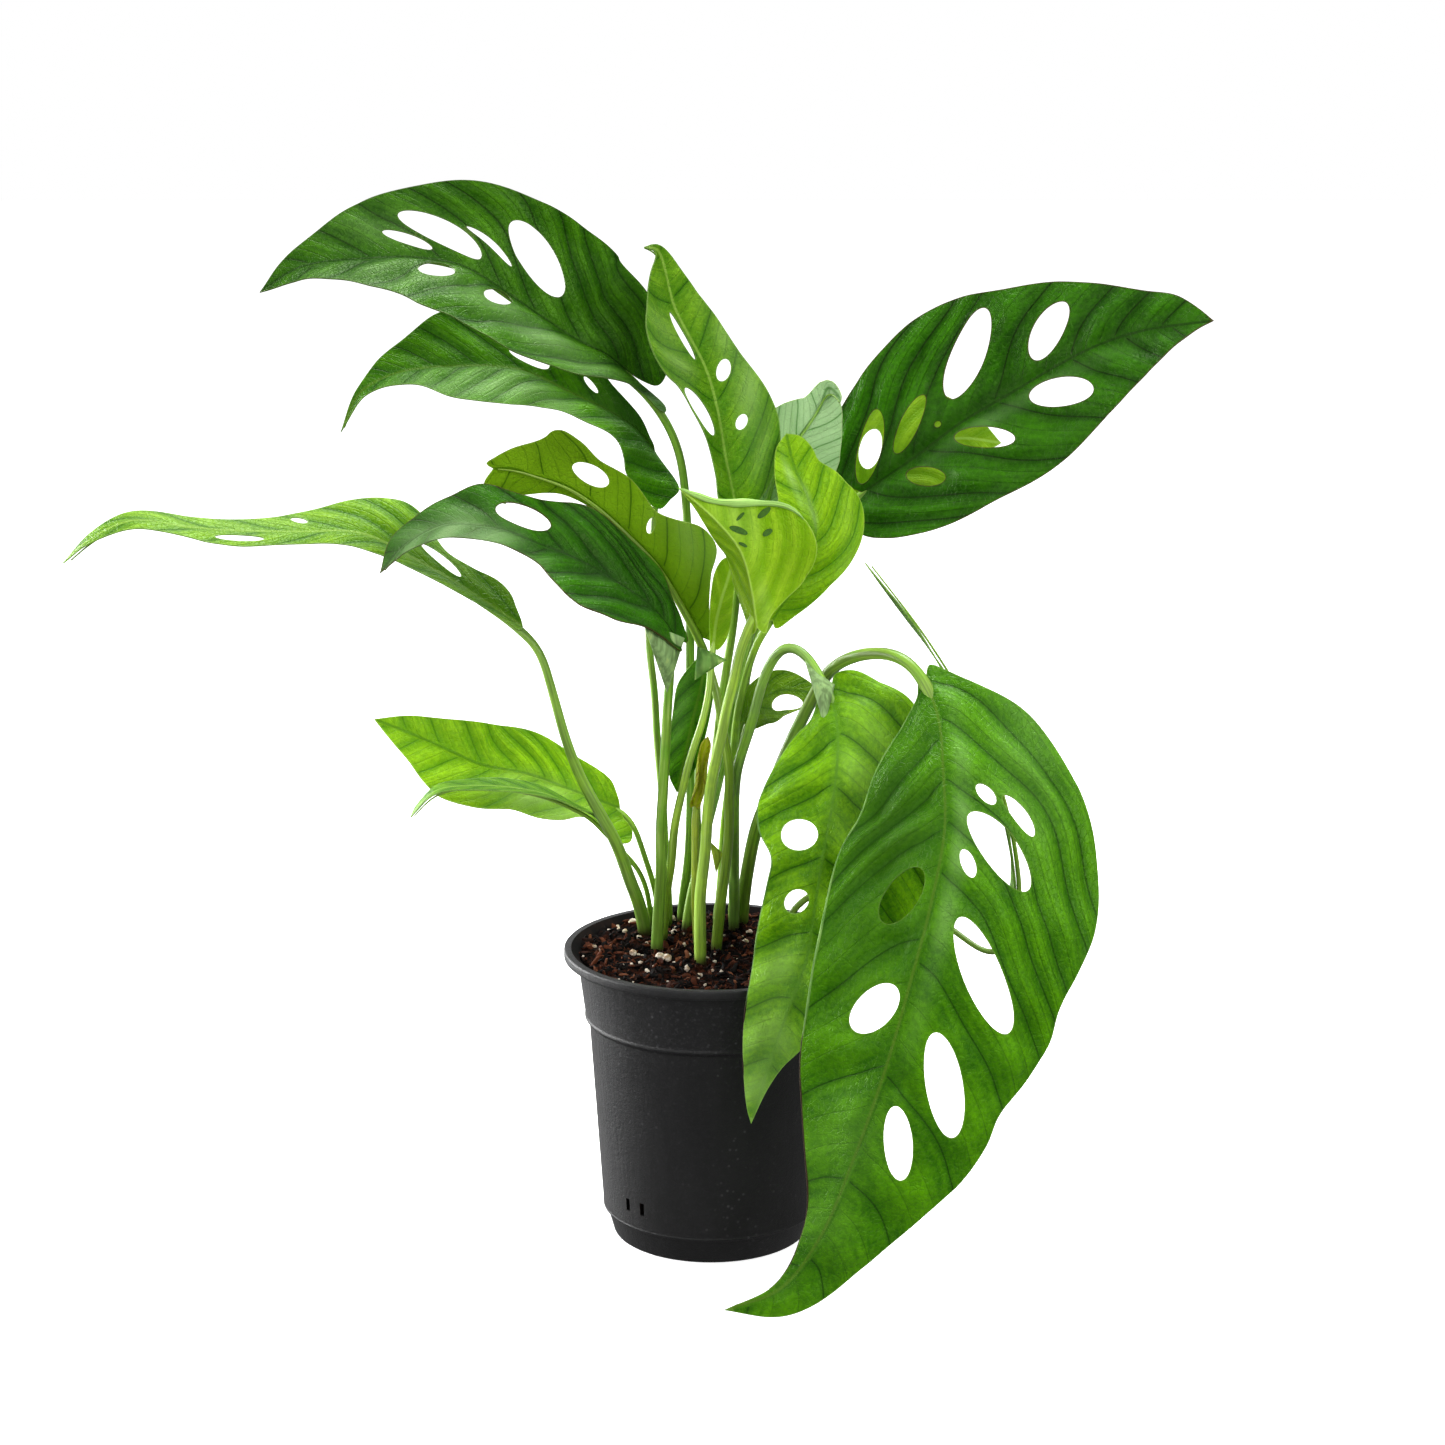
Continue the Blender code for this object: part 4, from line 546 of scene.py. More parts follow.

# Soft patches of painted sheen (paler) and painted shade (darker) on a leaf: centre on its flat pattern,
# reach in mm, amount
PAINTED_LIGHT_PATCHES = {
    "leaf_top_left": ((96, -12, 34, 8, 0.22), (38, -14, 30, 8, 0.42), (104, 12, 18, 7, 0.2),
                      (20, 14, 34, 14, -0.35)),
    "leaf_second_left": ((62, -12, 50, 9, 0.6), (16, 4, 22, 14, -0.9), (10, -12, 16, 10, -0.7)),
    "leaf_top_centre": ((46, 13, 30, 6, 0.5), (66, -12, 18, 7, 0.4), (20, -4, 22, 6, -0.45)),
    "leaf_top_right": ((62, 5, 44, 3, 0.3), (60, -3, 50, 3, -0.5), (10, -8, 20, 10, -0.4)),
    "leaf_back_pale": ((20, 10, 16, 8, 0.3),),
    "leaf_young_front": ((22, 16, 16, 8, -0.25), (40, 8, 14, 8, 0.3), (8, 4, 10, 3, 0.3)),
    "leaf_young_back": ((30, 14, 16, 6, 0.15), (20, 4, 16, 6, -0.3), (57, -3, 9, 1.3, 0.9),
                        (46, 0, 8, 1.2, 0.8)),
    "leaf_mid_left": ((100, -6, 28, 11, 1.0), (36, 2, 32, 12, -0.55)),
    "leaf_mid_turned": ((30, -18, 20, 8, 0.3), (84, -14, 18, 8, -0.35)),
    "leaf_far_left": ((24, 2, 28, 10, -0.7), (120, 4, 40, 8, 0.2)),
    "leaf_low_left": ((30, -9, 20, 8, 0.8), (70, 8, 26, 9, -0.25)),
    "leaf_big_front": ((60, 22, 56, 22, -0.65), (66, -6, 50, 4, 0.5), (30, -30, 30, 14, 0.15),
                       (190, 6, 40, 14, 0.12)),
    "leaf_hanging_pale": ((148, 2, 24, 14, 0.55), (30, -12, 22, 12, 0.3), (22, 12, 24, 8, -0.25),
                          (112, 9, 16, 8, 0.4), (80, 14, 20, 5, -0.25)),
    "leaf_small_inner": ((8, 0, 9, 8, -0.5),),
    "leaf_small_dark": ((20, 6, 20, 4, 0.3), (24, -4, 20, 3, -0.4)),
    "leaf_inner_bright": ((10, 3, 8, 4, -0.5),),
}

# Palettes in display colours from 0 to 255: shade, light, side veins, midrib, margin, underside, stalk
PALETTES = {
    "dark": ((14, 64, 0), (64, 138, 0), (4, 28, 0), (14, 52, 2), (92, 60, 40), (96, 144, 50),
             (122, 164, 54)),
    "deep": ((20, 72, 0), (76, 138, 4), (10, 42, 0), (18, 60, 2), (90, 116, 50), (110, 156, 70),
             (120, 164, 54)),
    "fresh": ((62, 122, 4), (134, 186, 34), (36, 88, 2), (150, 190, 76), (140, 176, 90),
              (132, 178, 80), (146, 188, 70)),
    "grass": ((36, 94, 0), (98, 168, 2), (20, 62, 0), (90, 130, 30), (120, 160, 60), (124, 174, 74),
              (134, 172, 60)),
    "bright": ((92, 150, 0), (170, 220, 24), (72, 130, 2), (84, 138, 12), (170, 204, 80),
               (156, 208, 74), (144, 190, 64)),
    "leafy": ((66, 124, 2), (144, 194, 26), (38, 92, 2), (146, 186, 70), (150, 190, 90), (138, 182, 80),
              (128, 168, 66)),
    "lime": ((122, 176, 4), (186, 226, 50), (138, 188, 24), (190, 226, 96), (190, 222, 100),
             (180, 222, 80), (160, 200, 74)),
    "olive": ((72, 116, 4), (126, 170, 24), (54, 96, 0), (62, 104, 2), (140, 170, 50), (128, 174, 20),
              (132, 168, 50)),
    "pale": ((146, 182, 132), (206, 226, 190), (92, 146, 74), (96, 150, 76), (180, 206, 140),
             (180, 220, 156), (130, 176, 64)),
    "quilt": ((52, 116, 0), (156, 220, 16), (28, 78, 0), (92, 148, 30), (150, 196, 90), (140, 184, 80),
              (130, 172, 76)),
    "yellow": ((150, 168, 8), (214, 222, 44), (126, 92, 10), (190, 190, 60), (170, 160, 60),
               (180, 190, 70), (156, 180, 60)),
}

# Colours of rolled margins and folds: the paler blotches and the rest
SMOOTH_PALETTES = {
    "ribbon": ((180, 222, 126), (164, 212, 106)),
    "joint": ((150, 182, 120), (138, 170, 108)),
    "edge": ((176, 214, 120), (92, 140, 60)),
    "yellow": ((214, 222, 44), (156, 180, 60)),
}


def linear(rgb):
    """A display colour from 0 to 255 as scene-linear RGBA."""
    channels = [c / 255 for c in rgb]
    return (*[c / 12.92 if c <= 0.04045 else ((c + 0.055) / 1.055) ** 2.4 for c in channels], 1.0)


def unit(vectors):
    return vectors / np.linalg.norm(vectors, axis=-1, keepdims=True)


def smooth_curve(points, count):
    """Evenly spaced points along a smooth curve through the given ones (centripetal Catmull-Rom)."""
    p = np.asarray(points, float)
    ends = np.vstack([2 * p[0] - p[1], p, 2 * p[-1] - p[-2]])
    knots = np.r_[0, np.cumsum(np.linalg.norm(np.diff(ends, axis=0), axis=1) ** 0.5)]
    steps = np.linspace(0, 1, CURVE_STEPS + 1)[:, None]
    pieces = []
    for i in range(len(p) - 1):
        p0, p1, p2, p3 = ends[i:i + 4]
        t0, t1, t2, t3 = knots[i:i + 4]
        out = (t2 - t1) * ((p1 - p0) / (t1 - t0) - (p2 - p0) / (t2 - t0)) + (p2 - p1)
        into = (t2 - t1) * ((p3 - p2) / (t3 - t2) - (p3 - p1) / (t3 - t1)) + (p2 - p1)
        piece = ((2 * steps**3 - 3 * steps**2 + 1) * p1 + (steps**3 - 2 * steps**2 + steps) * out
                 + (3 * steps**2 - 2 * steps**3) * p2 + (steps**3 - steps**2) * into)
        pieces.append(piece if i == 0 else piece[1:])
    curve = np.vstack(pieces)
    along = np.r_[0, np.cumsum(np.linalg.norm(np.diff(curve, axis=0), axis=1))]
    wanted = np.linspace(0, along[-1], count)
    return np.stack([np.interp(wanted, along, curve[:, k]) for k in range(curve.shape[1])], axis=-1)


def curve_length(points):
    return float(np.linalg.norm(np.diff(smooth_curve(points, LENGTH_POINTS), axis=0), axis=1).sum())


class Blade:
    """The surface of a leaf: x runs along its rib and y across it, positive on the right, in mm."""

    STATIONS = 201

    def __init__(self, name, spec, look):
        self.rib = smooth_curve(spec["rib"], self.STATIONS)
        self.length = curve_length(spec["rib"])
        self.along = unit(np.gradient(self.rib, axis=0))
        share = np.linspace(0, 1, self.STATIONS)
        marks = np.linspace(0, 1, len(spec["face"]))
        facing = unit(np.array(spec["face"], float))
        facing = np.stack([np.interp(share, marks, facing[:, k]) for k in range(3)], axis=-1)
        self.across = unit(np.cross(self.along, facing))
        self.normal = np.cross(self.across, self.along)
        self.sides = (spec["left"]["bend"], spec["right"]["bend"])
        self.reach = [max(y for _, y in spec[side]["edge"]) for side in ("left", "right")]
        self.wave = spec["wave"]
        self.puff, self.slant, self.bend, spacing = look[2:]
        # Without starts from the photograph, veins leave the rib evenly and alternate from side to side
        even = np.arange(-self.length / 8, self.length, spacing)
        before = -spacing * np.arange(EARLY_VEINS, 0, -1)
        self.starts = [np.r_[before + starts[0], starts, starts[-1] + spacing, starts[-1] + 2 * spacing]
                       for starts in VEIN_STARTS.get(name, (even + spacing / 3, even))]

    def place(self, x, y):
        """Points of the smooth surface in space, in mm."""
        x = np.asarray(x, float)
        y = np.asarray(y, float)
        share = np.clip(x / self.length, 0, 1)
        at = share * (self.STATIONS - 1)
        low = np.minimum(at.astype(int), self.STATIONS - 2)
        rest = (at - low)[..., None]
        rib = self.rib[low] * (1 - rest) + self.rib[low + 1] * rest
        along = unit(self.along[low] * (1 - rest) + self.along[low + 1] * rest)
        across = unit(self.across[low] * (1 - rest) + self.across[low + 1] * rest)
        normal = unit(self.normal[low] * (1 - rest) + self.normal[low + 1] * rest)
        rib = rib + along * (x - share * self.length)[..., None]
        # Across the rib each side is an arc, which starts at its fold and bends by its curl
        on_right = y >= 0
        width, fold_base, fold_tip, curl_base, curl_tip = np.where(
            on_right[..., None], self.sides[1], self.sides[0]).transpose(-1, *range(x.ndim))
        fold = np.radians(fold_base + (fold_tip - fold_base) * share)
        curl = np.radians(curl_base + (curl_tip - curl_base) * share) / width
        curl = np.where(np.abs(curl) < 1e-6, 1e-6, curl)
        reach = np.abs(y)
        outward = (np.sin(fold + curl * reach) - np.sin(fold)) / curl
        upward = (np.cos(fold) - np.cos(fold + curl * reach)) / curl
        height, count, start = self.wave
        lag = np.where(on_right, 0.0, SIDE_LAG)
        upward = upward + height * (reach / width) ** 2 * np.sin(2 * np.pi * (count * share + start) + lag)
        sign = np.where(on_right, 1.0, -1.0)
        return rib + across * (sign * outward)[..., None] + normal * upward[..., None]

    def upwards(self, x, y):
        """The surface's normal on the leaf's upper side."""
        step = 0.05
        by_x = self.place(x + step, y) - self.place(x - step, y)
        by_y = self.place(x, y + step) - self.place(x, y - step)
        return unit(np.cross(by_y, by_x))

    def veins(self, x, y):
        """The side vein's number at a place, whole on a vein, and the gap between veins there in mm."""
        reach = np.abs(y)
        half = np.where(y >= 0, self.reach[1], self.reach[0])
        start = x - self.slant * reach - self.bend * reach ** 2 / half
        start += VEIN_WANDER * np.sin(0.06 * x + 0.11 * reach + 1) * np.clip(reach / 8, 0, 1)
        slope = np.hypot(1, self.slant + 2 * self.bend * reach / half)
        counts, gaps = [], []
        for starts in self.starts:
            count = np.interp(start, starts, np.arange(len(starts)))
            low = np.minimum(count.astype(int), len(starts) - 2)
            counts.append(count)
            gaps.append((starts[low + 1] - starts[low]) / slope)
        return np.where(y >= 0, counts[1], counts[0]), np.where(y >= 0, gaps[1], gaps[0])

    def relief(self, x, y, rim):
        """Height of the tissue over the smooth surface: sunken veins and rib with bulges between them."""
        number, gap = self.veins(x, y)
        off_vein = np.abs(number - np.round(number)) * gap
        off_small = np.abs(number * 3 - np.round(number * 3)) * gap / 3
        bulge = 1 - np.exp(-(off_vein / (0.2 * gap + VEIN_WIDTH)) ** 2)
        swell = np.sin(0.16 * x + 0.1 * y) * np.sin(0.13 * y - 0.08 * x + 2)
        fade = np.clip(np.abs(y) / RELIEF_FADE, 0, 1) * np.clip(rim / RELIEF_FADE, 0.1, 1)
        small = np.exp(-(off_small / VEIN_WIDTH) ** 2)
        groove = np.exp(-(y / RIB_WIDTH) ** 2) * np.clip(1.1 - x / self.length, 0, 1)
        tissue = self.puff * fade * (bulge + 0.5 * swell - 0.08 * small - 0.6)
        return tissue - RIB_GROOVE * self.length * groove


def side_edge(edge, length, sign, step):
    """One side's edge from the notch at the stalk to the tip, as flat points about a step apart."""
    points = [(0, 0)] + [(x, sign * y) for x, y in edge] + [(length, 0)]
    count = max(LEAST_EDGE_STEPS, round(curve_length(points) / step))
    return smooth_curve(points, count + 1)


def hole_loop(hole, step):
    """An oval in the flat pattern, slanted outwards from the rib towards the tip."""
    x, y, length, width, slant = hole
    count = max(LEAST_HOLE_POINTS, round(math.pi * (length + width) / 2 / step))
    turn = np.linspace(0, math.tau, count, endpoint=False)
    slant = math.radians(slant) * (1 if y >= 0 else -1)
    long_way = np.cos(turn) * length / 2
    short_way = np.sin(turn) * width / 2
    return np.stack([x + long_way * math.cos(slant) - short_way * math.sin(slant),
                     y + long_way * math.sin(slant) + short_way * math.cos(slant)], axis=-1)


def inside(points, loop):
    """Which points lie inside a closed loop."""
    nexts = np.roll(loop, -1, axis=0)
    run = np.where(nexts[:, 1] == loop[:, 1], 1.0, nexts[:, 1] - loop[:, 1])
    slope = (nexts[:, 0] - loop[:, 0]) / run
    found = []
    for part in np.array_split(points, max(1, len(points) // POINTS_AT_ONCE)):
        x, y = part[:, :1], part[:, 1:]
        crosses = (loop[:, 1] > y) != (nexts[:, 1] > y)
        at = loop[:, 0] + (y - loop[:, 1]) * slope
        found.append((np.sum(crosses & (x < at), axis=1) % 2).astype(bool))
    return np.concatenate(found)


def distances(points, marks):
    """Each flat point's distance to the nearest mark."""
    tree = KDTree(len(marks))
    for i, mark in enumerate(marks):
        tree.insert((mark[0], mark[1], 0), i)
    tree.balance()
    return np.array([tree.find((point[0], point[1], 0))[2] for point in points])


def flat_pattern(spec, length):
    """The flat blade's points, its triangles around the rib and the holes, and each point's rim distance."""
    step = BLADE_STEP
    right = side_edge(spec["right"]["edge"], length, 1, step)
    left = side_edge(spec["left"]["edge"], length, -1, step)
    outline = np.vstack([right, left[-2:0:-1]])
    holes = [hole_loop(hole, step * HOLE_FINENESS) for hole in spec.get("holes", ())]
    rib_count = max(4, round(length / step))
    rib = np.stack([np.linspace(0, length, rib_count + 1)[1:-1], np.zeros(rib_count - 1)], axis=-1)
    low, high = outline.min(axis=0), outline.max(axis=0)
    rows = np.arange(low[1], high[1], step * EVEN_ROW)
    grid = np.array([(x + (step / 2 if i % 2 else 0), y) for i, y in enumerate(rows)
                     for x in np.arange(low[0], high[0], step)])
    grid = grid[inside(grid, outline) & (np.abs(grid[:, 1]) > 0.5 * step)]
    for hole in holes:
        grid = grid[~inside(grid, hole)]
    fixed = np.vstack([outline, rib] + holes)
    grid = grid[distances(grid, fixed) > POINT_CLEARANCE * step]
    points = np.vstack([fixed, grid])
    edges = [(i, (i + 1) % len(outline)) for i in range(len(outline))]
    rib_chain = [0] + [len(outline) + i for i in range(len(rib))] + [len(right) - 1]
    edges += list(zip(rib_chain, rib_chain[1:]))
    start = len(outline) + len(rib)
    for hole in holes:
        edges += [(start + i, start + (i + 1) % len(hole)) for i in range(len(hole))]
        start += len(hole)
    verts, _, faces, *_ = delaunay_2d_cdt([Vector(p) for p in points], edges, [], 0, 1e-5)
    verts, faces = np.array(verts), np.array(faces)
    centres = verts[faces].mean(axis=1)
    wanted = inside(centres, outline)
    for hole in holes:
        wanted &= ~inside(centres, hole)
    faces = faces[wanted]
    used, faces = np.unique(faces, return_inverse=True)
    verts = verts[used]
    return verts, faces.reshape(-1, 3), distances(verts, np.vstack([outline] + holes))


def open_edges(faces):
    """The directed edges that only one triangle has."""
    edges = np.vstack([faces[:, [0, 1]], faces[:, [1, 2]], faces[:, [2, 0]]])
    taken = {(a, b) for a, b in edges.tolist()}
    return [(a, b) for a, b in edges.tolist() if (b, a) not in taken]


def tube_rings(points, radii, sides, groove=0.0):
    """Vertices and faces of a closed tube along points, with an optional groove along its upper side."""
    points = np.asarray(points, float)
    along = unit(np.gradient(points, axis=0))
    side = unit(np.cross(along[0], TUBE_START))
    sides_at = []
    for direction in along:
        side = unit(side - direction * np.dot(side, direction))
        sides_at.append(side)
    first = np.array(sides_at)
    second = np.cross(along, first)
    turn = np.linspace(0, math.tau, sides, endpoint=False)
    dent = 1 - groove * np.exp(-((turn - math.pi) / GROOVE_WIDTH) ** 2)
    ring = first[:, None] * np.cos(turn)[:, None] + second[:, None] * np.sin(turn)[:, None]
    verts = points[:, None] + ring * (np.asarray(radii)[:, None] * dent)[..., None]
    verts = verts.reshape(-1, 3)
    count = len(points)
    faces = []
    for i in range(count - 1):
        for j in range(sides):
            k = (j + 1) % sides
            faces.append((i * sides + j, i * sides + k, (i + 1) * sides + k, (i + 1) * sides + j))
    faces.append(tuple(reversed(range(sides))))
    faces.append(tuple((count - 1) * sides + j for j in range(sides)))
    return verts, faces


def stalk_tube(spec, blade):
    """The midrib under the blade and the stalk from it down into the soil, as one tube."""
    thin, thick = spec["radius"]
    marks = np.array(RIB_MARKS) * blade.length
    on_rib = np.zeros(len(marks))
    radii = RIB_TIP_RADIUS + (thin - RIB_TIP_RADIUS) * (1 - np.array(RIB_MARKS)) ** 1.5
    sink = RIB_SINK + RIB_GROOVE * blade.length
    under = blade.place(marks, on_rib) - blade.upwards(marks, on_rib) * (radii + sink)[:, None]
    foot = np.array(spec["stalk"][-1], float)
    root = [foot - (0, 0, ROOT_DEPTH / 2), foot - (0, 0, ROOT_DEPTH)]
    route = np.vstack([under, spec["stalk"], root])
    total = curve_length(route)
    rib_length = curve_length(under)
    count = round(total / STALK_STEP)
    points = smooth_curve(route, count)
    for _ in range(STALK_SMOOTHING):
        points[1:-1] = (points[:-2] + 2 * points[1:-1] + points[2:]) / 4
    at = np.linspace(0, total, count)
    widths = np.interp(at, [0, rib_length * 0.5, rib_length, total],
                       [RIB_TIP_RADIUS, radii[len(radii) // 2], thin, thick])
    knee = np.exp(-((at - rib_length - KNEE_PLACE) / KNEE_LENGTH) ** 2)
    return tube_rings(points, widths * (1 + KNEE_SWELL * knee), STALK_SIDES, STALK_GROOVE)


def added(name, data):
    """A new object in the scene."""
    obj = bpy.data.objects.new(name, data)
    bpy.context.scene.collection.objects.link(obj)
    return obj


def mesh_object(name, verts, faces, materials, face_slots=None):
    """A mesh object from vertices in mm, shaded smooth except over sharp edges."""
    mesh = bpy.data.meshes.new(name)
    mesh.from_pydata((np.asarray(verts) * MM).tolist(), [], faces)
    for item in materials:
        mesh.materials.append(item)
    if face_slots is not None:
        mesh.polygons.foreach_set("material_index", face_slots)
    mesh.shade_smooth()
    mesh.set_sharp_from_angle(angle=math.radians(SHARP_DEGREES))
    mesh.update()
    return added(name, mesh)


def set_vectors(obj, name, rows):
    """A vector for each vertex."""
    values = np.vstack(rows).astype(np.float32)
    obj.data.attributes.new(name, "FLOAT_VECTOR", "POINT").data.foreach_set("vector", values.ravel())


def set_tones(obj, tones):
    """A number for each vertex."""
    values = np.array(tones, np.float32)
    obj.data.attributes.new("tone", "FLOAT", "POINT").data.foreach_set("value", values)


def stripe_marks(count, sides):
    """A place on a stalk for each vertex of its tube: around it, and a little of the way along."""
    turn = np.arange(sides) * 2 * math.pi / sides
    rings = count // sides
    around = np.column_stack([np.cos(turn), np.sin(turn)])
    return np.column_stack([np.tile(around, (rings, 1)), np.repeat(np.arange(rings) * STRIPE_STEP, sides)])


def painted_light_tones(name, x, y):
    """How much painted sheen, or painted shade below 0, a leaf has at places on its flat pattern."""
    tone = np.zeros(len(x))
    for at_x, at_y, long, wide, amount in PAINTED_LIGHT_PATCHES.get(name, ()):
        tone += amount * np.exp(-((x - at_x) / long) ** 2 - ((y - at_y) / wide) ** 2)
    return tone


def make_leaf(name, spec, look, materials):
    """A leaf's blade and stalk as one finer piece that stands for its solid."""
    blade = Blade(name, spec, look)
    flat, faces, rim = flat_pattern(spec, blade.length)
    x, y = flat[:, 0], flat[:, 1]
    up = blade.upwards(x, y)
    middle = blade.place(x, y) + up * blade.relief(x, y, rim)[:, None]
    half = up * (BLADE_THICKNESS / 2)
    tube_verts, tube_faces = stalk_tube(spec, blade)
    verts = np.vstack([middle + half, middle - half, tube_verts])
    count = len(flat)
    upper = faces[:, ::-1].tolist() + [(b + count, a + count, a, b) for a, b in open_edges(faces)]
    lower = (faces + count).tolist()
    stalk = [tuple(i + 2 * count for i in face) for face in tube_faces]
    slots = [0] * len(upper) + [1] * len(lower) + [2] * len(stalk)
    obj = mesh_object(name + "_fine", verts, upper + lower + stalk, materials, slots)
    number, gap = blade.veins(x, y)
    seed = float(sum(map(ord, name)) % LEAF_SEEDS)
    zeros = np.zeros(count)
    stripes = stripe_marks(len(tube_verts), STALK_SIDES)
    for attribute, columns, on_stalk in (
            ("pattern", (x, y, rim), stripes),
            ("vein", (number, gap, zeros + seed), np.full(stripes.shape, seed)),
            # patches of painted sheen and painted shade
            ("painted_sheen_shade", (painted_light_tones(name, x, y), zeros, zeros), np.zeros(stripes.shape))):
        set_vectors(obj, attribute, [np.column_stack(columns)] * 2 + [on_stalk])
    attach(obj, BODY)
    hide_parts(name)


def roll_edge(name, begin, end, radius, lift, material):
    """A bead along part of a leaf's right margin, thin at both ends."""
    spec = LEAVES[name]
    blade = Blade(name, spec, LOOKS[name])
    edge = side_edge(spec["right"]["edge"], blade.length, 1, BEAD_STEP)
    last = len(edge) - 1
    x, y = edge[round(begin * last):round(end * last) + 1].T
    path = blade.place(x, y) + blade.upwards(x, y) * lift
    share = np.linspace(0, 1, len(path))
    taper = (radius - BEAD_END_RADIUS) * np.sin(np.pi * share) ** 0.6
    radii = BEAD_END_RADIUS + taper * (0.85 + 0.15 * np.sin(17 * share))
    verts, faces = tube_rings(path, radii, BEAD_SIDES)
    obj = mesh_object(name + "_rolled_edge", verts, faces, [material])
    set_vectors(obj, "pattern", [stripe_marks(len(verts), BEAD_SIDES)])
    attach(obj, BODY)


def make_slits():
    """Painted shadow of the slits near the tip of leaf_young_front: thin dark pieces in its surface."""
    name = "leaf_young_front"
    blade = Blade(name, LEAVES[name], LOOKS[name])
    verts, faces = [], []
    for hole in SLITS:
        x, y = hole_loop(hole, SLIT_STEP).T
        first, count = len(verts), len(x)
        for lift in (SLIT_LIFT, -SLIT_LIFT):
            verts.extend(blade.place(x, y) + blade.upwards(x, y) * lift)
        upper = list(range(first, first + count))
        faces.append(tuple(upper))
        faces.append(tuple(i + count for i in reversed(upper)))
        faces.extend((b, a, a + count, b + count) for a, b in zip(upper, upper[1:] + upper[:1]))
    s = Shader(bpy.data.materials.new("leaf_slit_shadow"))
    # painted shadow, deeper in places
    depth = s.noise(s.place(), 900.0, 2.0)
    s.surface(s.mix(depth, *map(linear, SLIT_SHADOW_COLOURS)), 0.8)
    obj = mesh_object(name + "_slits", verts, faces, [s.owner])
    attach(obj, BODY)


def make_fold(name, corners, bulge, material):
    """A small three-cornered fold of leaf, domed towards the viewer in the middle, hollow at one side."""
    a, b, c = np.array(corners, float)
    dome = unit(np.cross(b - a, c - a))
    dome = dome if dome[1] < 0 else -dome
    steps = FOLD_STEPS
    marks = [(i, j) for i in range(steps + 1) for j in range(steps + 1 - i)]
    number = {mark: k for k, mark in enumerate(marks)}
    verts = []
    for i, j in marks:
        p, q = i / steps, j / steps
        r = 1 - p - q
        verts.append(r * a + p * b + q * c + dome * bulge * (FOLD_DOME * p * q * r - FOLD_HOLLOW * p * r))
    faces = []
    for i in range(steps):
        for j in range(steps - i):
            faces.append((number[i, j], number[i + 1, j], number[i, j + 1]))
            if j < steps - i - 1:
                faces.append((number[i + 1, j], number[i + 1, j + 1], number[i, j + 1]))
    verts, faces = np.array(verts), np.array(faces)
    count = len(verts)
    rim = [(j, i, i + count, j + count) for i, j in open_edges(faces)]
    whole = faces.tolist() + (faces[:, ::-1] + count).tolist() + rim
    obj = mesh_object(name, np.vstack([verts, verts - dome * BLADE_THICKNESS]), whole, [material])
    set_vectors(obj, "pattern", [np.vstack([verts, verts]) * FOLD_STRIPES])
    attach(obj, BODY)


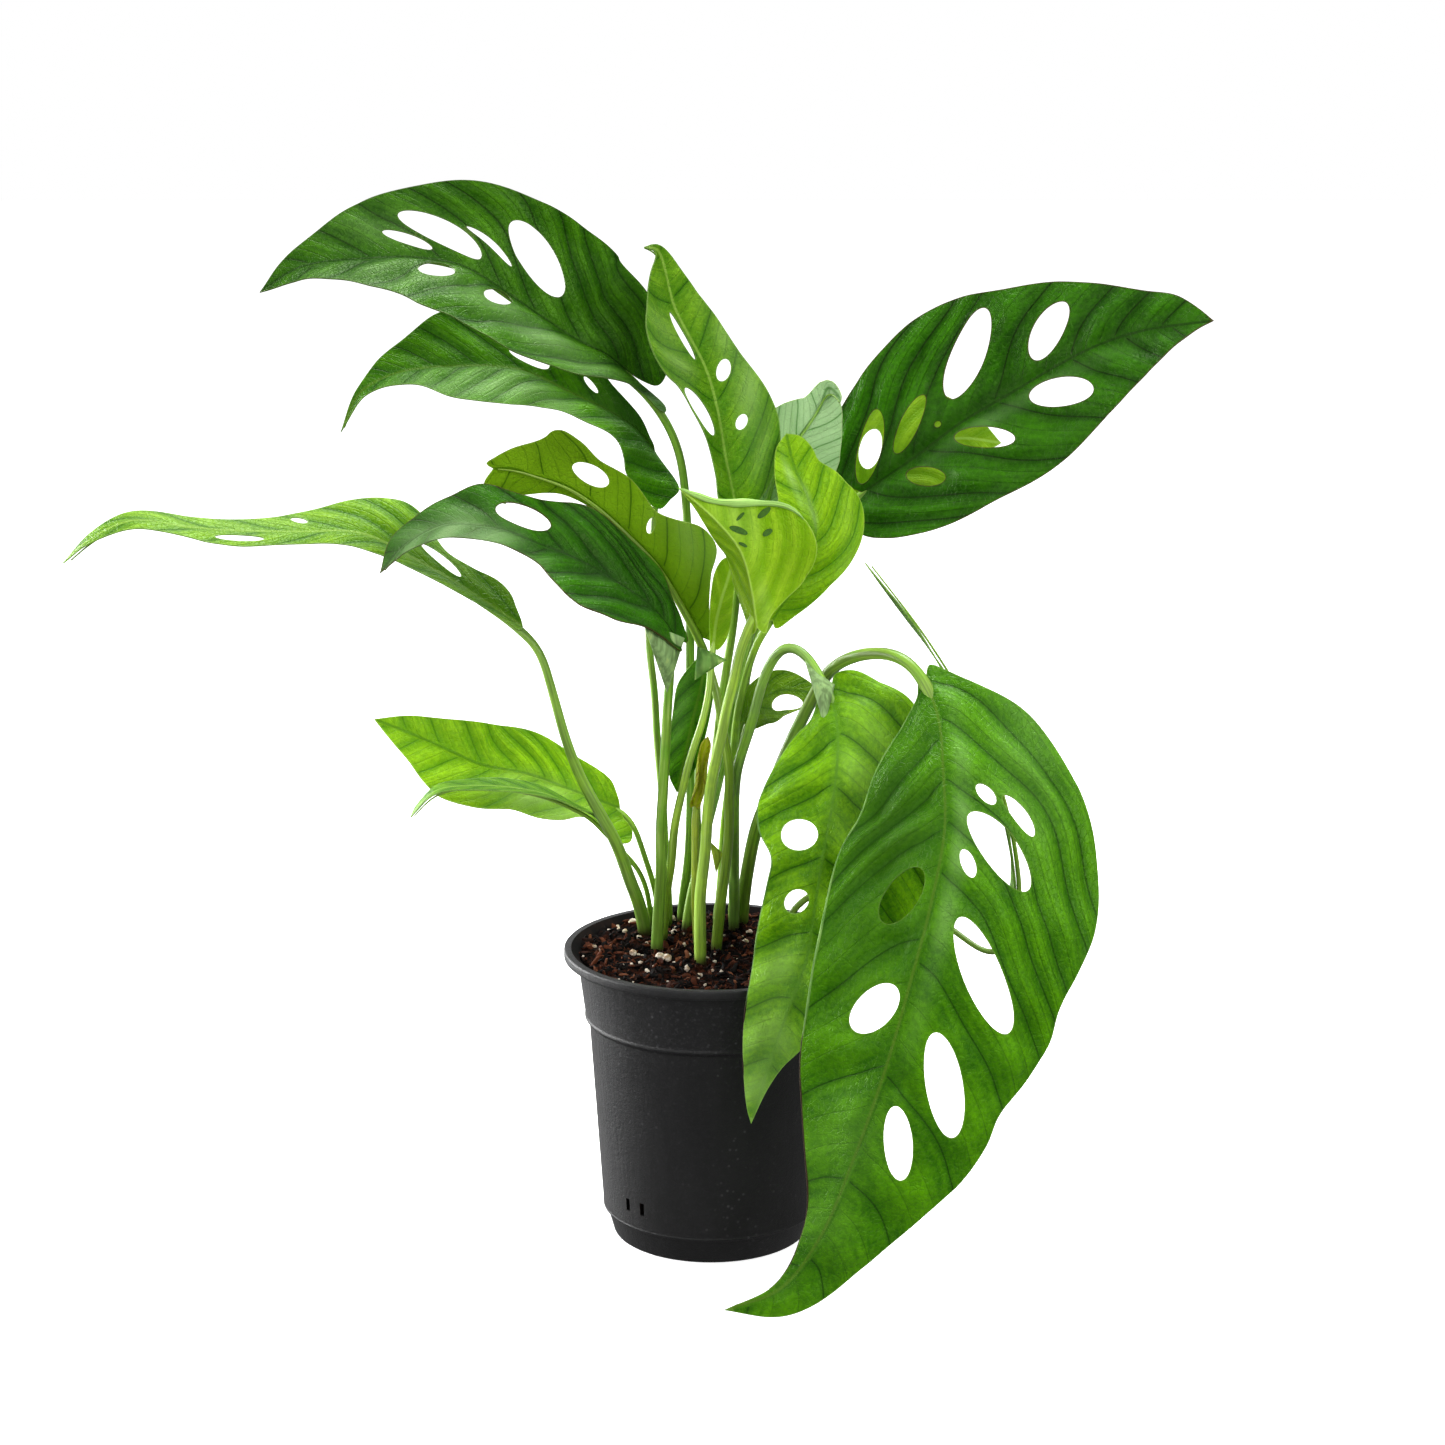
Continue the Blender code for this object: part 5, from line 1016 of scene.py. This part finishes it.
class Shader:
    """The nodes of a material or of the world, written as calls."""

    def __init__(self, owner):
        owner.use_nodes = True
        self.owner = owner
        self.tree = owner.node_tree
        self.main = self.tree.nodes.get("Principled BSDF")

    def node(self, kind, **settings):
        made = self.tree.nodes.new("ShaderNode" + kind)
        for key, value in settings.items():
            setattr(made, key, value)
        return made

    def link(self, value, socket):
        """Feed a socket from another socket, or set its value."""
        if isinstance(value, bpy.types.NodeSocket):
            self.tree.links.new(value, socket)
        else:
            socket.default_value = value

    def feed(self, made, **values):
        """Link or set a node's inputs by name, with _ for each space."""
        for key, value in values.items():
            self.link(value, made.inputs[key.replace("_", " ")])
        return made

    def math(self, operation, *values):
        made = self.node("Math", operation=operation)
        for value, socket in zip(values, made.inputs):
            self.link(value, socket)
        return made.outputs[0]

    def times(self, first, second):
        return self.math("MULTIPLY", first, second)

    def plus(self, first, second):
        return self.math("ADD", first, second)

    def band(self, value, low, high):
        """A smooth step from 0 at low to 1 at high, or the other way round."""
        begin, end = (0.0, 1.0) if low < high else (1.0, 0.0)
        made = self.node("MapRange", interpolation_type="SMOOTHSTEP", clamp=True)
        self.feed(made, Value=value, From_Min=min(low, high), From_Max=max(low, high),
                  To_Min=begin, To_Max=end)
        return made.outputs["Result"]

    def mix(self, amount, first, second):
        made = self.node("Mix", data_type="RGBA", blend_type="MIX", clamp_factor=True)
        colour_sockets = [s for s in made.inputs if s.type == "RGBA"]
        self.link(amount, made.inputs["Factor"])
        self.link(first, colour_sockets[0])
        self.link(second, colour_sockets[1])
        return next(s for s in made.outputs if s.type == "RGBA")

    def layers(self, colour, *paints):
        """A colour with others laid over it, each as where it lies, how strongly, and the colour."""
        for where, strength, paint in paints:
            colour = self.mix(where if strength == 1 else self.times(where, strength), colour, paint)
        return colour

    def noise(self, vector, scale, detail=2.0, roughness=0.5):
        """Noise with its scale per metre of space, or per millimetre of a leaf's pattern."""
        made = self.node("TexNoise")
        self.feed(made, Vector=vector, Scale=scale, Detail=detail, Roughness=roughness)
        return made.outputs["Fac"]

    def cells(self, vector, scale, feature="F1"):
        made = self.feed(self.node("TexVoronoi", feature=feature), Vector=vector, Scale=scale)
        return made.outputs["Distance"]

    def place(self):
        return self.node("TexCoord").outputs["Object"]

    def scaled(self, vector, factors):
        made = self.node("VectorMath", operation="MULTIPLY")
        self.link(vector, made.inputs[0])
        made.inputs[1].default_value = factors
        return made.outputs[0]

    def parts(self, vector):
        made = self.node("SeparateXYZ")
        self.link(vector, made.inputs[0])
        return list(made.outputs)

    def joined(self, *values):
        made = self.node("CombineXYZ")
        for value, socket in zip(values, made.inputs):
            self.link(value, socket)
        return made.outputs[0]

    def attribute(self, name):
        return self.node("Attribute", attribute_name=name)

    def off_line(self, number):
        """Distance from the nearest whole number."""
        share = self.math("FRACT", self.plus(number, 0.5))
        return self.math("ABSOLUTE", self.math("SUBTRACT", share, 0.5))

    def surface(self, colour, roughness, specular=0.5):
        """The colour, roughness and gloss of the material."""
        self.feed(self.main, Base_Color=colour, Roughness=roughness, Specular_IOR_Level=specular)

    def bump(self, height, distance, strength):
        made = self.feed(self.node("Bump"), Height=height, Distance=distance, Strength=strength)
        self.link(made.outputs["Normal"], self.main.inputs["Normal"])

    def blend(self, amount, first, second, output):
        """Send a mix of two shaders to the output."""
        made = self.node("MixShader")
        for value, socket in zip((amount, first.outputs[0], second.outputs[0]), made.inputs):
            self.link(value, socket)
        self.link(made.outputs[0], self.tree.nodes[output].inputs["Surface"])


def shaded(colour, amount):
    """A darker colour."""
    return tuple(c * amount for c in colour[:3]) + (1.0,)


def leaf_material(palette, under):
    """One side of a blade: mottled green tissue, sunken side veins, a net of fine ones, midrib and margin;
    painted shade in the grooves, painted highlight on the bulges, patches of painted sheen and shade.
    """
    shade, light, vein, rib, margin, below, _ = [linear(colour) for colour in PALETTES[palette]]
    s = Shader(bpy.data.materials.new(("leaf_under_" if under else "leaf_upper_") + palette))
    along, side, rim = s.parts(s.attribute("pattern").outputs["Vector"])
    number, gap, seed = s.parts(s.attribute("vein").outputs["Vector"])
    painted_sheen_shade = s.parts(s.attribute("painted_sheen_shade").outputs["Vector"])[0]
    across = s.math("ABSOLUTE", side)
    flat = s.joined(along, side, seed)
    broad = s.noise(flat, 0.045, 3.0)
    mottle = s.noise(flat, 0.55, 4.0, 0.7)
    fine = s.noise(flat, 1.6, 3.0, 0.7)
    streaks = s.noise(s.joined(s.times(number, 9.0), s.times(across, 0.13), seed), 1.0, 3.0)
    share = s.off_line(number)
    off = s.times(share, gap)
    small = s.times(s.off_line(s.times(number, 3.0)), s.times(gap, 0.3333))
    # painted highlight: lighter on the bulges between side veins
    bulge_highlight = s.band(share, 0.12, 0.42)
    net = s.band(s.cells(flat, 0.55, "DISTANCE_TO_EDGE"), 0.1, 0.0)
    off_rib = s.band(across, 0.3, 1.8)
    on_small = s.times(s.band(small, 0.3, 0.05), off_rib)
    grain = s.plus(s.times(s.band(mottle, 0.38, 0.62), 0.25), s.times(s.band(streaks, 0.36, 0.64), 0.25))
    tone = s.plus(s.times(s.band(broad, 0.35, 0.65), 0.25), s.plus(grain, s.times(bulge_highlight, 0.25)))
    colour = s.mix(s.math("POWER", tone, 1.2), shade, light)
    if under:
        colour = s.mix(0.7, colour, below)
    # painted sheen from the paler patches, stronger on the bulges
    pale = s.times(s.math("MAXIMUM", painted_sheen_shade, 0.0), s.plus(s.times(bulge_highlight, 0.5), 0.5))
    colour = s.layers(
        colour,
        # painted shade: darker along the sunken side veins and the sunken midrib
        (s.times(s.band(off, 2.2, 0.2), off_rib), 0.2 if under else 0.6, shade),
        (s.band(across, 5.0, 0.5), 0.1 if under else 0.35, shade),
        (net, 0.12, light),
        # darker vein lines: partly the veins' own colour, partly painted shade in their grooves
        (on_small, 0.35, vein),
        (s.times(s.band(off, 0.45, 0.08), off_rib), 0.8, vein),
        (s.band(across, 0.8, 0.25), 0.8, rib),
        (s.band(rim, 0.5, 0.15), 0.65, margin),
        (s.band(fine, 0.6, 0.75), 0.3, light),
        # painted sheen, then painted shade from the darker patches
        (pale, 1, s.mix(0.5, light, linear(PAINTED_SHEEN))),
        (s.math("MAXIMUM", s.times(painted_sheen_shade, -1.0), 0.0), 1, shaded(shade, 0.6)))
    s.surface(colour, s.plus(s.times(mottle, 0.2), 0.45 if under else 0.3), 0.2 if under else 0.38)
    s.feed(s.main, Specular_Tint=LEAF_SHEEN)
    s.bump(s.plus(s.times(s.plus(net, on_small), -0.5), s.plus(mottle, streaks)), 0.0005, 0.6)
    through = s.feed(s.node("BsdfTranslucent"), Color=s.mix(0.35, colour, light))
    s.blend(LEAF_GLOW, s.main, through, "Material Output")
    return s.owner


def stalk_material(name, blotch, green, gloss):
    """A smooth green stalk with faint lengthwise streaks, the palest of them painted highlight, darker
    towards the soil as painted shade, and stained and painted shade where it enters the soil.
    """
    green = linear(green)
    dark = shaded(green, 0.52)
    s = Shader(bpy.data.materials.new(name))
    place = s.place()
    stripes = s.noise(s.attribute("pattern").outputs["Vector"], 1.7, 2.0, 0.6)
    blotches = s.noise(place, 90.0, 3.0)
    level = s.parts(place)[2]
    stain = s.plus(level, s.times(blotches, 0.006))
    colour = s.layers(
        s.mix(s.band(stripes, 0.38, 0.62), dark, green),
        # painted highlight on the palest streaks
        (s.band(stripes, 0.6, 0.7), 0.5, linear(STALK_HIGHLIGHT)),
        (s.band(blotches, 0.45, 0.7), 0.3, linear(blotch)),
        # painted shade, darker towards the soil
        (s.band(level, (SOIL_LEVEL + 26) * MM, (SOIL_LEVEL + 6) * MM), 0.6, dark),
        # soil stain and painted shade where the stalk enters the soil
        (s.band(stain, (SOIL_LEVEL + 9) * MM, (SOIL_LEVEL + 3) * MM), 1, STALK_STAIN_AND_SHADE))
    s.surface(colour, 0.76 - gloss, gloss)
    s.bump(stripes, 0.0004, 0.3)
    return s.owner


def round_corners(profile):
    """A profile with each inner corner cut to a small arc."""
    points = [np.array(p, float) for p in profile]
    smooth = [points[0]]
    for before, corner, after in zip(points, points[1:], points[2:]):
        into, out = before - corner, after - corner
        cut_back = min(POT_CORNER, 0.45 * np.linalg.norm(into), 0.45 * np.linalg.norm(out))
        start = corner + unit(into) * cut_back
        end = corner + unit(out) * cut_back
        for t in np.linspace(0, 1, POT_CORNER_STEPS + 1):
            smooth.append((1 - t) ** 2 * start + 2 * t * (1 - t) * corner + t ** 2 * end)
    smooth.append(points[-1])
    return smooth


def turned(name, profile):
    """A round mesh from its profile of (radius, height) in mm, down the outside and back up inside."""
    mesh = bpy.data.meshes.new(name)
    bm = bmesh.new()
    verts = [bm.verts.new((radius * MM, 0, height * MM)) for radius, height in profile]
    for a, b in zip(verts, verts[1:]):
        bm.edges.new((a, b))
    bm.to_mesh(mesh)
    bm.free()
    obj = added(name, mesh)
    screw = obj.modifiers.new("Turn", "SCREW")
    screw.steps = POT_STEPS
    screw.render_steps = POT_STEPS
    screw.use_merge_vertices = True
    screw.merge_threshold = 1e-5
    apply_modifiers(obj)
    return obj


def apply_modifiers(obj):
    """Give the object its evaluated mesh and drop its modifiers."""
    bpy.context.view_layer.update()
    evaluated = obj.evaluated_get(bpy.context.evaluated_depsgraph_get())
    mesh = bpy.data.meshes.new_from_object(evaluated)
    obj.modifiers.clear()
    obj.data = mesh


def cut(obj, cutters):
    """Cut an object with several others and remove those."""
    collection = bpy.data.collections.new("cutters")
    bpy.context.scene.collection.children.link(collection)
    for cutter in cutters:
        collection.objects.link(cutter)
    mod = obj.modifiers.new("Cut", "BOOLEAN")
    mod.operation = "DIFFERENCE"
    mod.solver = "EXACT"
    mod.operand_type = "COLLECTION"
    mod.collection = collection
    apply_modifiers(obj)
    for cutter in cutters:
        bpy.data.objects.remove(cutter, do_unlink=True)
    bpy.data.collections.remove(collection)


def pot_drills():
    """Cutters for the drain holes in the base and the slots low in the wall."""
    drills = []
    for i in range(DRAIN_HOLES):
        angle = math.tau * (i + 0.5) / DRAIN_HOLES
        place = (DRAIN_RING * MM * math.cos(angle), DRAIN_RING * MM * math.sin(angle), FLOOR / 2 * MM)
        bpy.ops.mesh.primitive_cylinder_add(vertices=32, radius=DRAIN_RADIUS * MM, depth=3 * FLOOR * MM,
                                            location=place)
        drills.append(bpy.context.object)
    radius = WALL_LOW_RADIUS - WALL / 2
    for degrees in SIDE_SLOTS:
        angle = math.radians(degrees)
        place = (radius * MM * math.cos(angle), radius * MM * math.sin(angle), SIDE_SLOT_LEVEL * MM)
        bpy.ops.mesh.primitive_cube_add(size=MM, location=place, rotation=(0, 0, angle))
        slot = bpy.context.object
        slot.scale = (6 * WALL, *SIDE_SLOT_SIZE)
        drills.append(slot)
    return drills


def make_pot():
    """Thin black pot with a rolled lip, a stepped band with its seam, a chamfered foot and drain holes."""
    lip_low = POT_HEIGHT - LIP_DEPTH
    lip_inside = LIP_RADIUS - WALL
    lip_inner_edge = LIP_RADIUS - LIP_INNER_WIDTH
    lip_top = (lip_inner_edge + LIP_BEVEL, POT_HEIGHT)
    outside = [
        lip_top,
        (LIP_RADIUS, POT_HEIGHT),
        (LIP_RADIUS, lip_low),
        (lip_inside, lip_low),
        (lip_inside, lip_low + WALL),
        (BAND_TOP_RADIUS, lip_low + WALL),
        (BAND_TOP_RADIUS - 0.35, lip_low - 1.2),
        (BAND_TOP_RADIUS - 0.75, lip_low - 1.6),
        (BAND_LOW_RADIUS + 0.1, BAND_LOW + 2.2),
        (BAND_LOW_RADIUS + SEAM, BAND_LOW + 1.5),
        (BAND_LOW_RADIUS + SEAM, BAND_LOW + 0.8),
        (BAND_LOW_RADIUS - 0.4, BAND_LOW),
        (WALL_TOP_RADIUS, BAND_LOW - 0.6),
        (WALL_LOW_RADIUS + 0.1, FOOT_HEIGHT + 1.6),
        (WALL_LOW_RADIUS + 0.3, FOOT_HEIGHT + 1.0),
        (WALL_LOW_RADIUS, FOOT_HEIGHT + 0.4),
        (FOOT_TOP_RADIUS, FOOT_HEIGHT),
        (FOOT_RADIUS, 0.0),
        (0.0, 0.0),
    ]
    hollow = [
        (0.0, FLOOR),
        (FOOT_RADIUS - WALL, FLOOR),
        (WALL_LOW_RADIUS - 2 * WALL, FOOT_HEIGHT + 0.8),
        (WALL_TOP_RADIUS - WALL, BAND_LOW),
        (BAND_TOP_RADIUS - WALL, POT_HEIGHT - 2 * WALL),
        (lip_inner_edge, POT_HEIGHT),
        lip_top,
    ]
    pot = turned("pot_shell", round_corners(outside) + round_corners(hollow))
    cut(pot, pot_drills())
    pot.data.materials.clear()
    pot.data.materials.append(pot_material())
    pot.data.materials.append(pot_inside_material())
    # inward faces below the lip take the inner wall's material, with its painted shade
    for face in pot.data.polygons:
        inwards = face.normal.x * face.center.x + face.normal.y * face.center.y < 0
        face.material_index = 1 if inwards and face.center.z < (POT_HEIGHT - LIP_BEVEL) * MM else 0
    pot.data.shade_smooth()
    pot.data.set_sharp_from_angle(angle=math.radians(POT_SHARP_DEGREES))
    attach(pot, BODY)
    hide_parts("pot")


def pot_inside_material():
    """The pot's inner wall: painted shade darkens it, and soil dulls it and smears it brown."""
    s = Shader(bpy.data.materials.new("pot_inside"))
    smears = s.noise(s.place(), 120.0, 4.0, 0.6)
    colour = s.mix(s.band(smears, 0.4, 0.7), *POT_INSIDE_SOIL_AND_SHADE)
    s.surface(colour, 0.9, 0.08)
    s.bump(smears, 0.0003, 0.5)
    return s.owner


def pot_material():
    """Black polypropylene: satin, with fine upright drawing marks, scuffs and dust, and painted shade in
    blotches towards the foot.
    """
    s = Shader(bpy.data.materials.new("black_plastic_fine"))
    place = s.place()
    height = s.parts(place)[2]
    grain = s.noise(place, 800.0, 4.0, 0.8)
    smears = s.noise(s.scaled(place, (1.0, 1.0, 0.35)), 60.0, 4.0, 0.6)
    blots = s.noise(place, 34.0, 5.0, 0.65)
    dust = s.cells(place, 330.0)
    scratches = s.noise(s.scaled(place, (1.0, 1.0, 0.05)), 420.0, 2.0)
    # painted shade: darker in blotches towards the foot
    low = s.times(s.band(height, 0.04, 0.012), s.band(blots, 0.45, 0.6))
    band = s.times(s.band(height, 0.076, 0.09), s.band(height, 0.113, 0.108))
    spread = s.plus(s.times(band, 0.5), s.band(smears, 0.48, 0.66))
    specks = s.times(s.band(dust, 0.24, 0.1), s.times(spread, 0.55))
    scuffs = s.times(s.band(grain, 0.5, 0.68), s.plus(0.25, s.times(band, 0.5)))
    colour = s.layers(
        s.mix(s.band(smears, 0.35, 0.75), *POT_BLACKS),
        (low, 0.8, POT_FOOT_SHADE),
        (specks, 1, POT_DUST),
        (scuffs, 0.6, POT_SCUFF))
    s.surface(colour, s.plus(0.46, s.plus(s.times(grain, 0.14), s.times(specks, 0.3))), 0.36)
    s.bump(s.plus(s.times(grain, 1.5), scratches), 0.0003, 0.6)
    return s.owner


def soil_height(x, y):
    """Level of the soil's surface at a place, in mm, without its crumbs."""
    swell = math.sin(0.31 * x + 1) * math.cos(0.27 * y) + 0.5 * math.sin(0.6 * (x + y))
    outwards = math.hypot(x, y) / WALL_TOP_RADIUS
    return SOIL_LEVEL + SOIL_RELIEF * swell + SOIL_RISE_AT_WALL * outwards ** 2


def crumb_height(x, y):
    """The soil's level with its crumbs of a few millimetres and less."""
    level = soil_height(x, y)
    for rate, layer, height in CRUMB_RELIEF:
        level += height * value_noise.noise(Vector((x * rate, y * rate, layer)))
    return level


def make_soil():
    """The soil's surface: a disc with crumbs, closed below."""
    rings, steps = SOIL_RINGS, SOIL_STEPS
    angles = [math.tau * j / steps for j in range(steps)]
    verts = [(0, 0, crumb_height(0, 0))]
    for i in range(1, rings + 1):
        radius = SOIL_RADIUS * (i / rings)
        for angle in angles:
            x, y = radius * math.cos(angle), radius * math.sin(angle)
            verts.append((x, y, crumb_height(x, y)))
    skirt = SOIL_RADIUS - SOIL_SKIRT_INSET
    verts += [(skirt * math.cos(angle), skirt * math.sin(angle), SOIL_SKIRT) for angle in angles]
    faces = [(0, 1 + j, 1 + (j + 1) % steps) for j in range(steps)]
    for i in range(rings):
        for j in range(steps):
            k = (j + 1) % steps
            a, b = 1 + i * steps, 1 + (i + 1) * steps
            faces.append((a + j, b + j, b + k, a + k))
    faces.append(tuple(1 + rings * steps + j for j in reversed(range(steps))))
    soil = mesh_object("soil_surface", verts, faces, [soil_material()])
    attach(soil, BODY)
    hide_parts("soil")


def soil_material():
    """Damp peat: near black, with red-brown fibrous patches."""
    s = Shader(bpy.data.materials.new("potting_soil_fine"))
    place = s.place()
    patches = s.noise(place, 160.0, 5.0, 0.7)
    grain = s.noise(place, 1500.0, 3.0, 0.8)
    colour = s.layers(
        s.mix(s.band(patches, 0.46, 0.66), *PEAT),
        (s.band(grain, 0.55, 0.8), 0.3, PEAT_GRAIN))
    s.surface(colour, 0.9, 0.06)
    s.bump(s.plus(grain, s.times(patches, 2.0)), 0.0006, 0.8)
    return s.owner


def crumb_material():
    """Peat and bark chips, each with its own brown."""
    s = Shader(bpy.data.materials.new("soil_crumbs_fine"))
    tone = s.attribute("tone").outputs["Fac"]
    grain = s.noise(s.place(), 1300.0, 3.0, 0.7)
    colour = s.layers(
        s.mix(s.band(tone, 0.4, 0.9), *CHIP),
        (s.band(tone, 0.9, 0.98), 1, CHIP_PALE),
        (s.band(grain, 0.5, 0.75), 0.35, CHIP_GRAIN))
    s.surface(colour, 0.8, 0.1)
    s.bump(grain, 0.0003, 0.6)
    return s.owner


def perlite_material():
    """Porous cream mineral grains, stained here and there by the soil."""
    s = Shader(bpy.data.materials.new("perlite_fine"))
    place = s.place()
    pores = s.noise(place, 1500.0, 3.0, 0.7)
    stain = s.noise(place, 420.0, 2.0)
    colour = s.layers(
        s.mix(s.band(stain, 0.42, 0.7), *map(linear, PERLITE)),
        (s.band(pores, 0.55, 0.35), 0.4, linear(PERLITE_PORE)))
    s.surface(colour, 0.9)
    s.bump(pores, 0.0004, 0.8)
    return s.owner


def ico(level):
    """Vertices and faces of an icosphere of radius 1."""
    bm = bmesh.new()
    bmesh.ops.create_icosphere(bm, subdivisions=level, radius=1.0)
    verts = np.array([v.co for v in bm.verts])
    faces = np.array([[v.index for v in f.verts] for f in bm.faces])
    bm.free()
    return verts, faces


def random_turn(rng):
    axis = unit(np.array([rng.gauss(0, 1) for _ in range(3)]))
    return np.array(Matrix.Rotation(rng.uniform(0, math.tau), 3, Vector(axis)))


def lump(rng, level, size, stretch, roughness):
    """An irregular grain: an icosphere pushed in and out by noise and stretched."""
    verts, faces = ico(level)
    shift = Vector([rng.uniform(-50, 50) for _ in range(3)])
    push = np.array([value_noise.noise(Vector(v) * 1.6 + shift)
                     + 0.4 * value_noise.noise(Vector(v) * 4 + shift) for v in verts])
    verts = verts * (1 + roughness * push)[:, None] * np.array(stretch) * size
    return verts @ random_turn(rng).T, faces


def litter(name, grains, material):
    """One piece of many grains on the soil, each given as its number, vertices and faces."""
    verts, faces, tones = [], [], []
    start = 0
    for number, grain, sides in grains:
        verts.append(grain)
        faces += [tuple(int(i) + start for i in side) for side in sides]
        tones += [number * TONE_STEP % 1.0] * len(grain)
        start += len(grain)
    obj = mesh_object(name, np.vstack(verts), faces, [material])
    set_tones(obj, tones)
    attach(obj, BODY)


def lumps(rng, spots, sizes, raised, level, stretch, roughness):
    """Numbered grains of these sizes on the soil at these spots, raised by a share of their size."""
    for number, ((x, y), size) in enumerate(zip(spots, sizes)):
        grain, sides = lump(rng, level, size, stretch(), roughness)
        yield number, grain + np.array((x, y, crumb_height(x, y) + raised * size)), sides


def free_places(rng, count, feet, gap):
    """Random places on the soil, clear of the stalks."""
    places = []
    while len(places) < count:
        far = (SOIL_RADIUS - 0.4) * math.sqrt(rng.random())
        angle = rng.uniform(0, math.tau)
        x, y = far * math.cos(angle), far * math.sin(angle)
        if min(math.hypot(x - a, y - b) for a, b in feet) > gap:
            places.append((x, y))
    return places


def make_crumbs(feet):
    """Loose crumbs and bark chips on the soil."""
    rng = random.Random(RANDOM_SEEDS["crumbs"])
    least, more = CRUMB_SIZES
    sizes = [least + more * rng.random() ** 3 for _ in range(CRUMBS)]
    spots = free_places(rng, CRUMBS, feet, gap=1.7)
    chips = lumps(rng, spots, sizes, raised=0.25, level=1, roughness=0.5,
                  stretch=lambda: (1.5 + rng.random(), 0.9, 0.5))
    litter("soil_crumbs", chips, crumb_material())


def make_perlite(feet):
    """Cream perlite grains, pressed into the soil."""
    rng = random.Random(RANDOM_SEEDS["perlite"])
    spots = [(x, y) for x, y, _ in SEEN_GRAINS] + free_places(rng, MORE_GRAINS, feet, gap=3.5)
    sizes = [radius for _, _, radius in SEEN_GRAINS]
    least, more = MORE_GRAIN_SIZES
    sizes += [least + more * rng.random() ** 2 for _ in range(MORE_GRAINS)]
    grains = lumps(rng, spots, sizes, raised=0.45, level=3, roughness=0.42,
                   stretch=lambda: (1.15, 0.95, 0.85))
    litter("perlite_grains", grains, perlite_material())


def make_fibres(feet):
    """Thin peat fibres lying on the soil."""
    rng = random.Random(RANDOM_SEEDS["fibres"])
    fibres = []
    for number, (x, y) in enumerate(free_places(rng, FIBRES, feet, gap=2.0)):
        length = rng.uniform(*FIBRE_LENGTH)
        heading = rng.uniform(0, math.tau)
        curve = rng.uniform(-FIBRE_CURVE, FIBRE_CURVE)
        points = []
        for step in range(FIBRE_STEPS + 1):
            along = length * (step / FIBRE_STEPS - 0.5)
            turn = heading + curve * along
            px, py = x + along * math.cos(turn), y + along * math.sin(turn)
            if math.hypot(px, py) > SOIL_RADIUS - 1:
                break
            points.append((px, py, crumb_height(px, py) + FIBRE_RAISED + 0.3 * math.sin(step)))
        if len(points) >= 4:
            radii = [rng.uniform(*FIBRE_RADIUS)] * len(points)
            fibres.append((number, *tube_rings(points, radii, FIBRE_SIDES)))
    litter("soil_fibres", fibres, crumb_material())


def soft_light(name, place, size, power, target, spread):
    data = bpy.data.lights.new(name, "AREA")
    data.shape = "RECTANGLE"
    data.size, data.size_y = size
    data.energy = power
    data.spread = math.radians(spread)
    obj = added(name, data)
    obj.location = place
    obj.rotation_euler = (Vector(target) - obj.location).to_track_quat("-Z", "Y").to_euler()


def make_world():
    """A white studio: the camera sees it white, and it lights the plant softly, more from above."""
    bpy.context.scene.world = bpy.data.worlds.new("studio")
    s = Shader(bpy.context.scene.world)
    seen = s.feed(s.tree.nodes["Background"], Color=(1, 1, 1, 1), Strength=1.0)
    height = s.parts(s.node("TexCoord").outputs["Generated"])[2]
    level = s.feed(s.node("MapRange"), Value=height, From_Min=-0.3, From_Max=0.9,
                   To_Min=WORLD_BELOW, To_Max=WORLD_ABOVE)
    light = s.feed(s.node("Background"), Strength=level.outputs["Result"])
    s.blend(s.node("LightPath").outputs["Is Camera Ray"], light, seen, "World Output")


def make_floor():
    """A pale floor that lights nothing but itself."""
    bpy.ops.mesh.primitive_plane_add(size=FLOOR_SIZE, location=(0, 0, FLOOR_LEVEL))
    floor = bpy.context.object
    floor.name = "floor"
    s = Shader(bpy.data.materials.new("pale_floor"))
    s.surface((0.9, 0.9, 0.9, 1), 1.0, 0.0)
    s.feed(s.main, Emission_Color=(1, 1, 1, 1), Emission_Strength=FLOOR_GLOW)
    floor.data.materials.append(s.owner)
    floor.visible_diffuse = False
    floor.visible_glossy = False
    floor.visible_transmission = False


def make_camera():
    """The camera at the photograph's angle."""
    data = bpy.data.cameras.new("camera")
    data.sensor_width = SENSOR_MM
    data.lens = LENS_MM
    data.clip_start = 0.01
    camera = added("camera", data)
    camera.location = CAMERA_PLACE
    camera.rotation_euler = (math.radians(CAMERA_PITCH), 0, 0)
    bpy.context.scene.camera = camera
    bpy.context.scene.view_settings.view_transform = "Standard"


def main():
    made = {}
    for name, spec in LEAVES.items():
        look = LOOKS[name]
        palette = look[1]
        if palette not in made:
            _, light, *_, green = PALETTES[palette]
            made[palette] = [leaf_material(palette, False), leaf_material(palette, True),
                             stalk_material("stalk_" + palette, light, green, STALK_GLOSS)]
        make_leaf(name, spec, look, made[palette])
    smooth = {palette: stalk_material("leaf_smooth_" + palette, blotch, green, BEAD_GLOSS)
              for palette, (blotch, green) in SMOOTH_PALETTES.items()}
    for *edge, palette in ROLLED_EDGES:
        roll_edge(*edge, smooth[palette])
    for *fold, palette in FOLDS:
        make_fold(*fold, smooth[palette])
    make_slits()
    feet = [spec["stalk"][-1][:2] for spec in LEAVES.values()]
    make_pot()
    make_soil()
    make_crumbs(feet)
    make_perlite(feet)
    make_fibres(feet)
    make_floor()
    make_world()
    for light in LIGHTS:
        soft_light(*light)
    make_camera()


main()
